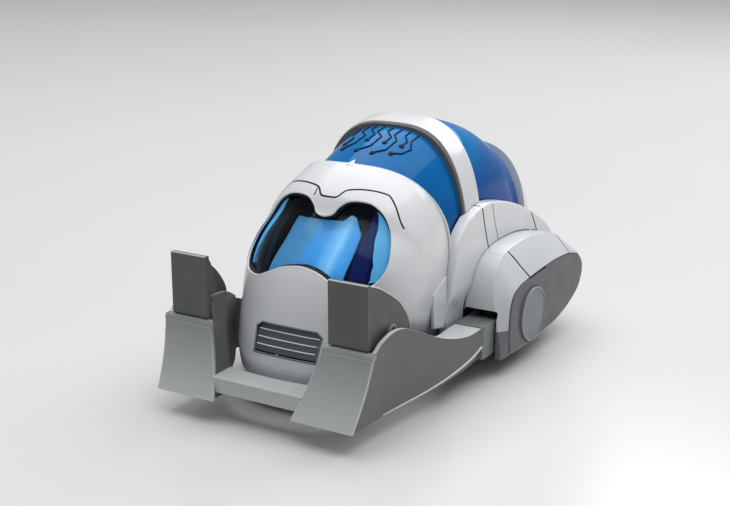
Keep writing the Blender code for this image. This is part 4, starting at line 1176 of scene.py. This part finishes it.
def build_pod(side, name):
    piece = add("pod_skin_" + name, mirror_solid(pod_solid(), side), "white")
    bevel(piece, 0.4, 22.0)
    foot = add("pod_foot_" + name, mirror_solid(pod_solid(0.12), side), "foot_grey")
    foot_room = box((POD_INNER_X + 0.2, BESIDE), (-4.0, 4.3), (0.0, 19.4))
    keep(foot, helper("foot_room_" + name, mirror_solid(foot_room, side), "foot_grey"))
    hollow = loft([
        side_ring(inner_outline(PANEL, 1.2), 52.0),
        side_ring(inner_outline(POD, 1.7), lambda y, z: crease_x(y, z) - 1.2),
        side_ring(inner_outline(POD, 1.7), POD_BACK_X),
        side_ring(inner_outline(POD, 4.4), 36.0),
        side_ring(inner_outline(POD, 4.4), 30.0),
    ])
    well = box((30.0, 52.2), (4.0, 62.0), (0.0, 12.5))
    corner = [
        (SLOT_X + SLOT_CORNER * (math.cos(a) - 1), SLOT_TOP + SLOT_CORNER * (math.sin(a) - 1))
        for a in [math.pi / 2 * k / 6 for k in range(7)]
    ]
    mouth = [(30.0, 0.0), (SLOT_X, 0.0)] + corner
    mouth += [(37.6, SLOT_TOP), (POD_INNER_X, 26.4), (30.0, 26.4)]
    # painted shade: the faces of the pod's hollow, well and slot mouth are near-black
    cutters = (("hollow", hollow), ("well", well), ("slot", front_prism(mouth, -6.0, 6.0)))
    for part, solid in cutters:
        cutter = helper(f"pod_{part}_{name}", mirror_solid(solid, side), "inside_shade")
        cut(piece, cutter)
        cut(foot, cutter)
    settle(foot, "chassis", (), "cap_grey")
    lines = (
        ([(17.2, 49.0), (18.6, 46.6), (20.9, 41.6), (23.9, 36.6)], 0.46),
        ([(67.4, 44.9), (66.7, 42.2), (65.7, 37.0)], 0.38),
    )
    for number, (path, radius) in enumerate(lines):
        line = [(side * (chamfer_point(y, z) + 0.3), y, z) for y, z in resampled(curve(path, 6), 16)]
        cut(piece, helper(f"pod_seam_{name}_{number}", tube(line, radius, 8), "seam"))
    settle(piece, "chassis", ["pod_shell_" + name], "white")

    rings = flat_face(PANEL, 0.45, PANEL_X[1], (0.02, 0.5, 1.0))
    rings += domed_edge(PANEL, PANEL_X[1], 0.45, 0.35)
    rings += [side_ring(outline(PANEL), PANEL_X[0] - 0.4)]
    skin = add("side_skin_" + name, mirror_solid(loft(rings), side), "panel_grey")
    shelf = resampled([p for p in curve(PANEL[1], 8) if 22.0 < p[0] < 41.0], 20)
    step = [(y, z - 0.5) for y, z in shelf] + [(shelf[-1][0], 45.0), (shelf[0][0], 45.0)]
    cut(skin, helper("shelf_" + name, mirror_solid(plate(step, 50.0, BESIDE), side), "panel_grey"))
    moat = plate(circle((AXLE_Y, AXLE_Z), HUB_CAP_R + 0.3), PANEL_X[1] - 0.35, BESIDE)
    cut(skin, helper("moat_" + name, mirror_solid(moat, side), "seam"))
    settle(skin, "chassis", ["side_panel_" + name], "panel_grey")

    face = HUB_CAP_X[1]
    profile = (
        (0.05, face - 0.25), (8.0, face - 0.3), (10.9, face - 0.34), (11.1, face - 0.08), (11.35, face),
        (11.65, face - 0.1), (HUB_CAP_R, face - 0.35), (HUB_CAP_R, PANEL_X[1] - 0.3),
    )
    disc = loft([side_ring(circle((AXLE_Y, AXLE_Z), radius, 96), x) for radius, x in profile])
    piece = add("hub_disc_" + name, mirror_solid(disc, side), "cap_grey")
    settle(piece, "chassis", ["hub_cap_" + name], "cap_grey")
    # painted highlight: a pale ring at the hub disc's edge
    rim_line = side_ring(circle((AXLE_Y, AXLE_Z), 11.5, 96), face - 0.2)
    ring = add("hub_ring_" + name, mirror_solid(tube(rim_line, 0.19, 8, closed=True), side), "highlight_grey")
    settle(ring, "chassis", (), "cap_grey")


# ---------------------------------------------------------------- fork

def cheek_x(y, z):
    front = BLADE_FOOT_X[1] + 2.8 * (z - BLADE_FOOT[1]) / (BLADE_HEAD[1] - BLADE_FOOT[1])
    return mix(front, BAR_X[1], ease(y, -92.0, -16.0))


def cheek_inner_x(y, z):
    return cheek_x(y, z) - mix(2.1, BAR_X[1] - BAR_X[0], ease(y, -55.0, -15.0))


def inner_cheek_x(y, z):
    slant = (BLADE_HEAD_X[0] - BLADE_FOOT_X[0]) / (BLADE_HEAD[1] - BLADE_FOOT[1])
    front = BLADE_FOOT_X[0] + 0.3 + slant * (z - BLADE_FOOT[1])
    back = 24.5 + 0.47 * max(0.0, y + 84.0)
    return mix(front, back, ease(y, -86.5, -77.0))


def blade_z(y):
    """Height of the blade's slanted line at y."""
    t = (y - BLADE_FOOT[0]) / (BLADE_HEAD[0] - BLADE_FOOT[0])
    return mix(BLADE_FOOT[1], BLADE_HEAD[1], t)


def blade_solid():
    """A hollow-faced blade that rolls over at its head."""
    face = []
    for step in range(25):
        t = step / 24
        y = mix(BLADE_FOOT[0], -91.6, t) + BLADE_HOLLOW * math.sin(math.pi * t)
        z = mix(BLADE_FOOT[1], 33.9, t)
        face.append((y, z, t))
    roll = []
    for step in range(1, 9):
        turn = math.radians(mix(200.0, 75.0, step / 8))
        roll.append((-90.2 + 1.5 * math.cos(turn), 35.3 + 1.6 * math.sin(turn), 1.0))
    front = face + roll
    back = [(y + mix(1.3, 1.9, t), z + 0.25) for y, z, t in face]
    back += [(-88.7, z - 0.1) for _, z, _ in roll]
    rings = []
    for (y, z, _), (back_y, back_z) in zip(front, back):
        t = (z - BLADE_FOOT[1]) / (BLADE_HEAD[1] - BLADE_FOOT[1])
        x0 = mix(BLADE_FOOT_X[0], BLADE_HEAD_X[0], t) - 0.05
        x1 = mix(BLADE_FOOT_X[1], BLADE_HEAD_X[1], t) + 0.05
        row = [(mix(x0, x1, i / 8), y, z) for i in range(9)]
        row += [(mix(x1, x0, i / 8), back_y, back_z) for i in range(9)]
        rings.append(row)
    return loft(rings)


def lower_lip(y, z):
    """How far the outer cheek draws in below the line of its lip."""
    line = along(curve(LIP_LINE, 6), y)
    if y < LIP_LINE[0][0] or z >= line:
        return 0.0
    return 0.34 * (line - z)


def build_ramp(side, name):
    """A blade between its two cheeks, with pale beads and ledges along their edges, painted highlights."""
    rows = [mix(CHEEK_NOSE_Y, -90.31, i / 20) for i in range(21)]
    rows += [mix(-90.3, BEAM_END_Y, i / 90) for i in range(91)]
    top_line = curve(OUTER_CHEEK_TOP, 8)
    floor_line = curve(OUTER_CHEEK_FLOOR, 8)
    outer = wall_grid(
        rows,
        lambda y: along(floor_line, y),
        lambda y: blade_z(y - 2.2) if y < -90.3 else along(top_line, y),
        lambda y, z: cheek_x(y, z) - lower_lip(y, z),
        cheek_inner_x,
        levels=18,
    )
    cheek = add("cheek_" + name, mirror_solid(outer, side), "cheek_grey")
    bevel(cheek, 0.32)
    settle(cheek, "fork", ["ramp_" + name], "light_grey")
    # painted light: a pale cover on the cheek's top edge, which faces up
    ledge = []
    for y in [mix(-89.0, BEAM_END_Y, i / 90) for i in range(91)]:
        z = along(top_line, y)
        x0, x1 = cheek_x(y, z) - 0.25, cheek_inner_x(y, z) + 0.25
        ledge.append([(x0, y, z - 0.25), (x0, y, z + 0.12), (x1, y, z + 0.12), (x1, y, z - 0.25)])
    cover = add("cheek_ledge_" + name, mirror_solid(loft(ledge), side), "highlight_grey")
    settle(bevel(cover, 0.12, segments=2), "fork", (), "light_grey")
    # painted highlight: a pale bead along the line of the cheek's lip
    lip = [(cheek_x(y, z) - 0.12, y, z) for y, z in resampled(curve(LIP_LINE, 6), 70)]
    lip = tube(lip, lambda t: mix(0.3, 0.62, t), 10)
    bead = add("cheek_lip_" + name, mirror_solid(lip, side), "highlight_grey")
    settle(bead, "fork", (), "light_grey")

    inner_top = curve(INNER_CHEEK_TOP, 8)
    inner_floor = curve(INNER_CHEEK_FLOOR, 8)
    rows = [mix(CHEEK_NOSE_Y, -90.11, i / 16) for i in range(17)]
    rows += [mix(-90.1, -87.8, i / 4) for i in range(4)]
    rows += [mix(-87.7, -62.2, i / 60) for i in range(61)]
    inner = wall_grid(
        rows,
        lambda y: along(inner_floor, y),
        lambda y: blade_z(y - 2.2) if y < -90.1 else along([(-90.1, 36.5)] + inner_top, y),
        lambda y, z: inner_cheek_x(y, z) + 1.8,
        inner_cheek_x,
        levels=14,
    )
    cheek = add("inner_cheek_" + name, mirror_solid(inner, side), "cheek_grey")
    settle(bevel(cheek, 0.3), "fork", (), "light_grey")
    blade = add("blade_" + name, mirror_solid(blade_solid(), side), "light_grey")
    settle(bevel(blade, 0.3), "fork", (), "light_grey")
    # painted highlight: the roll along the blade's head is coloured paler
    x0, x1 = BLADE_HEAD_X[0] - 0.4, BLADE_HEAD_X[1] - 0.45
    rings = []
    for t in [k / 8 for k in range(9)]:
        y = mix(-91.75, -89.4, t) - 0.5 * math.sin(math.pi * t)
        z = mix(34.3, 36.95, t)
        rings.append([(x0, y, z), (x1, y, z), (x1, y + 1.0, z - 0.4), (x0, y + 1.0, z - 0.4)])
    cap = add("blade_roll_" + name, mirror_solid(loft(rings), side), "roll_highlight_grey")
    settle(bevel(cap, 0.2), "fork", (), "light_grey")
    # painted highlight: pale beads along the blade's two side edges
    for edge, foot_x, head_x in zip(("in", "out"), BLADE_FOOT_X, BLADE_HEAD_X):
        rim_line = []
        for t in [k / 30 for k in range(31)]:
            y = mix(BLADE_FOOT[0] + 0.35, -91.3, t) + BLADE_HOLLOW * math.sin(math.pi * t)
            rim_line.append((mix(foot_x, head_x, t * 0.93), y, mix(BLADE_FOOT[1] + 0.3, 34.4, t)))
        bead = add(f"blade_edge_{edge}_{name}", mirror_solid(tube(rim_line, 0.2, 8), side), "highlight_grey")
        settle(bead, "fork", (), "light_grey")


def build_crossbar():
    rings = []
    for i in range(41):
        share = mix(-1.0, 1.0, i / 40)
        bow = 2.0 * (1 - share * share)
        view = [
            (CROSSBAR_Y[0], CROSSBAR_Z[0]), (CROSSBAR_Y[0] + 0.3, CROSSBAR_Z[1] - 0.4),
            (CROSSBAR_Y[0] + 1.0, CROSSBAR_Z[1]), (CROSSBAR_Y[1] - bow, CROSSBAR_Z[1]),
            (CROSSBAR_Y[1] - bow, CROSSBAR_Z[0]),
        ]
        rings.append([(share * (inner_cheek_x(y, z) - 0.1), y, z) for y, z in view])
    piece = add("crossbar_skin", loft(rings), "light_grey")
    settle(bevel(piece, 0.35), "fork", ["fork_crossbar"], "light_grey")


def build_arm(side, name):
    """The sleeve that stands proud of the arm's bar, behind a narrow neck at the cheek."""
    wide = (BAR_X[0] - 0.3, BAR_X[1] + 0.3)
    tall = (BAR_Z[0] - 0.25, BAR_Z[1] + 0.04)
    sleeve = box(wide, (BAR_Y[0] + 1.0, BAR_Y[1]), tall)
    piece = add("arm_sleeve_" + name, mirror_solid(sleeve, side), "arm_grey")
    settle(bevel(piece, 0.4), "fork", (), "light_grey")


def build_jaw(side, name):
    """An upright plate with its cheeks, boss and pale beads, which are painted highlights, and the pin
    that it turns on.
    """
    front = box((JAW_X[0], JAW_X[1] - 0.9), (JAW_Y, JAW_Y + 1.9), JAW_Z)
    jaw = add("jaw_plate_" + name, mirror_solid(front, side), "dark_grey")
    large = plate(outline(JAW_CHEEK, 4), 41.8, 43.8)
    join(jaw, helper("jaw_cheek_" + name, mirror_solid(large, side), "dark_grey"))
    small = plate(outline(JAW_INNER_CHEEK, 4), 27.5, 29.0)
    join(jaw, helper("jaw_small_" + name, mirror_solid(small, side), "dark_grey"))
    bevel(jaw, 0.28, 40.0)
    settle(jaw, "jaw_plate_" + name, ["jaw_" + name], "dark_grey")
    # painted highlight: pale beads along the plate's top edge and its cheek's curve
    rim_path = [(x, JAW_Y + 0.25, JAW_Z[1] - 0.1) for x in (JAW_X[0] + 0.3, JAW_X[1] - 1.2)]
    curve_path = [(43.6, y, z - 0.1) for y, z in resampled(curve(JAW_CHEEK[1], 6), 40)]
    for number, path in enumerate((rim_path, curve_path)):
        bead = add(f"jaw_bead_{name}_{number + 1}", mirror_solid(tube(path, 0.32, 8), side), "highlight_grey")
        settle(bead, "jaw_plate_" + name, (), "light_grey")
    hoop_rings = []
    for radius, x in ((2.0, 43.4), (2.0, 44.3), (2.3, 44.5), (2.9, 44.5), (3.3, 44.2), (3.3, 43.4)):
        hoop_rings.append(side_ring(circle(JAW_HINGE, radius, 48), x))
    ring = add("jaw_boss_" + name, mirror_solid(loft(hoop_rings, closed=True), side), "light_grey")
    settle(ring, "jaw_plate_" + name, (), "dark_grey")
    pin_rings = [(0.05, 46.6), (1.0, 46.6), (1.35, 46.3), (1.35, 30.9), (1.0, 30.6), (0.05, 30.6)]
    pin = loft([side_ring(circle(JAW_HINGE, radius, 32), x) for radius, x in pin_rings])
    settle(add("jaw_axle_" + name, mirror_solid(pin, side), "steel"), "fork", ["jaw_pin_" + name], "steel")


# ---------------------------------------------------------------- wheels and underside

def build_tyre(side, name):
    """A rubber ring with chevron lugs."""
    x0, x1 = TYRE_X
    middle = (x0 + x1) / 2
    across = [
        (RIM_R + 0.1, x0 + 0.3), (RIM_R + 0.6, x0 + 0.1), (TYRE_R - 2.2, x0), (TYRE_R - 1.1, x0 + 0.25),
        (TYRE_R - 0.35, x0 + 0.9), (TYRE_R, x0 + 1.7),
        (TYRE_R, middle - 0.9), (TYRE_R, middle), (TYRE_R, middle + 0.9),
        (TYRE_R, x1 - 1.7), (TYRE_R - 0.35, x1 - 0.9), (TYRE_R - 1.1, x1 - 0.25), (TYRE_R - 2.2, x1),
        (RIM_R + 0.6, x1 - 0.1), (RIM_R + 0.1, x1 - 0.3),
    ]
    steps = 288
    lug_pitch = 9
    groove = 2.6
    groove_depth = 0.7
    rings = []
    for step in range(steps):
        ring = []
        for radius, x in across:
            turn = 2 * math.pi * step / steps
            if radius > TYRE_R - 1.2:
                from_middle = abs(x - middle)
                in_groove = (step + from_middle * 1.6) % lug_pitch < groove
                radius -= groove_depth if in_groove and from_middle > 0.5 else 0.0
            ring.append((x, AXLE_Y + radius * math.cos(turn), AXLE_Z + radius * math.sin(turn)))
        rings.append(ring)
    piece = add("tread_" + name, mirror_solid(loft(rings, closed=True), side), "rubber")
    settle(piece, "drive_wheel_" + name, ["tyre_" + name], "rubber")


def build_underside():
    """Four screws with a socket each, and the grips of the battery hatch."""
    screw = [(0.05, 10.4), (0.5, 10.4), (0.55, 9.85), (1.6, 9.85), (1.8, 10.0), (1.8, 10.6), (0.05, 10.6)]
    solids = []
    for centre in ((18.0, -40.0), (-18.0, -40.0), (27.0, 2.0), (-27.0, 2.0)):
        solids.append(loft([[(x, y, z) for x, y in circle(centre, radius, 28)] for radius, z in screw]))
    settle(add("underside_screws", merged(*solids), "steel"), "chassis", (), "steel")
    ribs = [box((-14.0, 14.0), (y, y + 0.9), (9.75, 10.4)) for y in (62.0, 64.2, 66.4, 68.6)]
    settle(bevel(add("hatch_grips", merged(*ribs), "cheek_grey"), 0.2), "chassis", (), "dark_grey")


CARRIED = {
    "chassis_tub": ("cheek_grey", 0.5), "chassis_deck": ("cheek_grey", 0.2),
    "battery_cover": ("cheek_grey", 0.25), "battery_holder": ("black", 0.2),
    "caster_housing": ("cheek_grey", 0.3), "caster_ball": ("steel", 0.0),
    "circuit_board": ("board_green", 0.1), "speaker": ("black", 0.3),
    "power_switch": ("light_grey", 0.3), "lift_motor": ("black", 0.3), "lift_shaft": ("steel", 0.15),
}
for number in (1, 2, 3):
    CARRIED[f"battery_cell_{number}"] = ("cell_wrap", 0.2)
for side_name in SIDES:
    CARRIED.update({
        "wheel_" + side_name: ("cap_grey", 0.3), "axle_" + side_name: ("steel", 0.15),
        "drive_gear_" + side_name: ("gear_white", 0.1), "motor_pinion_" + side_name: ("gear_white", 0.1),
        "drive_motor_" + side_name: ("steel", 0.3), "gearbox_plate_" + side_name: ("light_grey", 0.2),
        "lift_pinion_" + side_name: ("gear_white", 0.1), "arm_" + side_name: ("arm_grey", 0.15),
    })


def dress_carried():
    """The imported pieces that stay: a finish of their own and rounded edges."""
    for node, (finish, width) in CARRIED.items():
        piece = frame["nodes"][node]
        piece.data.materials.clear()
        piece.data.materials.append(finishes[finish])
        if width:
            bevel(piece, width, 40.0, 2)


# ---------------------------------------------------------------- studio, in metres

FLOOR_REACH = 30.0
CAMERA_PLACE = (0.27243, -0.47013, 0.20144)
CAMERA_TILT = 73.98
CAMERA_TURN = 31.13
CAMERA_LENS = 65.47
SENSOR_WIDTH = 36.0


def area_light(name, place, target, size, power, colour=(1.0, 1.0, 1.0)):
    data = bpy.data.lights.new(name, "AREA")
    data.shape = "RECTANGLE"
    data.size, data.size_y = size
    data.energy = power
    data.color = colour
    made = bpy.data.objects.new(name, data)
    made.location = place
    made.rotation_euler = (Vector(target) - Vector(place)).to_track_quat("-Z", "Y").to_euler()
    bpy.context.scene.collection.objects.link(made)


def build_studio():
    mesh = bpy.data.meshes.new("floor")
    corners = [(x * FLOOR_REACH, y * FLOOR_REACH, 0) for x, y in ((-1, -1), (1, -1), (1, 1), (-1, 1))]
    mesh.from_pydata(corners, [], [(0, 1, 2, 3)])
    floor = bpy.data.objects.new("floor", mesh)
    bpy.context.scene.collection.objects.link(floor)
    made, tree, shader, place = new_material("studio floor")
    tree.links.new(
        blend_colours(tree, noise(tree, place, 3.0, 1.0), (0.73, 0.725, 0.72), (0.75, 0.745, 0.74)),
        shader.inputs["Base Color"],
    )
    tree.links.new(spread(tree, noise(tree, place, 2.0, 1.0), 0.20, 0.23), shader.inputs["Roughness"])
    mesh.materials.append(made)

    world = bpy.data.worlds.new("studio")
    bpy.context.scene.world = world
    world.use_nodes = True
    background = world.node_tree.nodes["Background"]
    background.inputs["Color"].default_value = (0.97, 0.985, 1.0, 1.0)
    background.inputs["Strength"].default_value = 0.34
    aim = (0.0, -0.01, 0.05)
    area_light("overhead", (0.0, 0.25, 1.7), aim, (2.4, 2.4), 36.0)
    area_light("rear rim", (0.2, 1.1, 0.8), aim, (1.2, 0.4), 5.0)
    bpy.context.scene.view_settings.view_transform = "Standard"


def build_camera():
    data = bpy.data.cameras.new("camera")
    data.sensor_width = SENSOR_WIDTH
    data.lens = CAMERA_LENS
    made = bpy.data.objects.new("camera", data)
    made.location = CAMERA_PLACE
    made.rotation_euler = (math.radians(CAMERA_TILT), 0.0, math.radians(CAMERA_TURN))
    bpy.context.scene.collection.objects.link(made)
    bpy.context.scene.camera = made


# ---------------------------------------------------------------- the whole car

rooms = [fender_room(side, name) for name, side in SIDES.items()]
build_head(rooms)
build_cabin(rooms)
for side_name, side in SIDES.items():
    build_fender(side, side_name)
    build_pod(side, side_name)
    build_ramp(side, side_name)
    build_arm(side, side_name)
    build_jaw(side, side_name)
    build_tyre(side, side_name)
build_crossbar()
build_underside()
dress_carried()
clear_helpers()
build_studio()
build_camera()
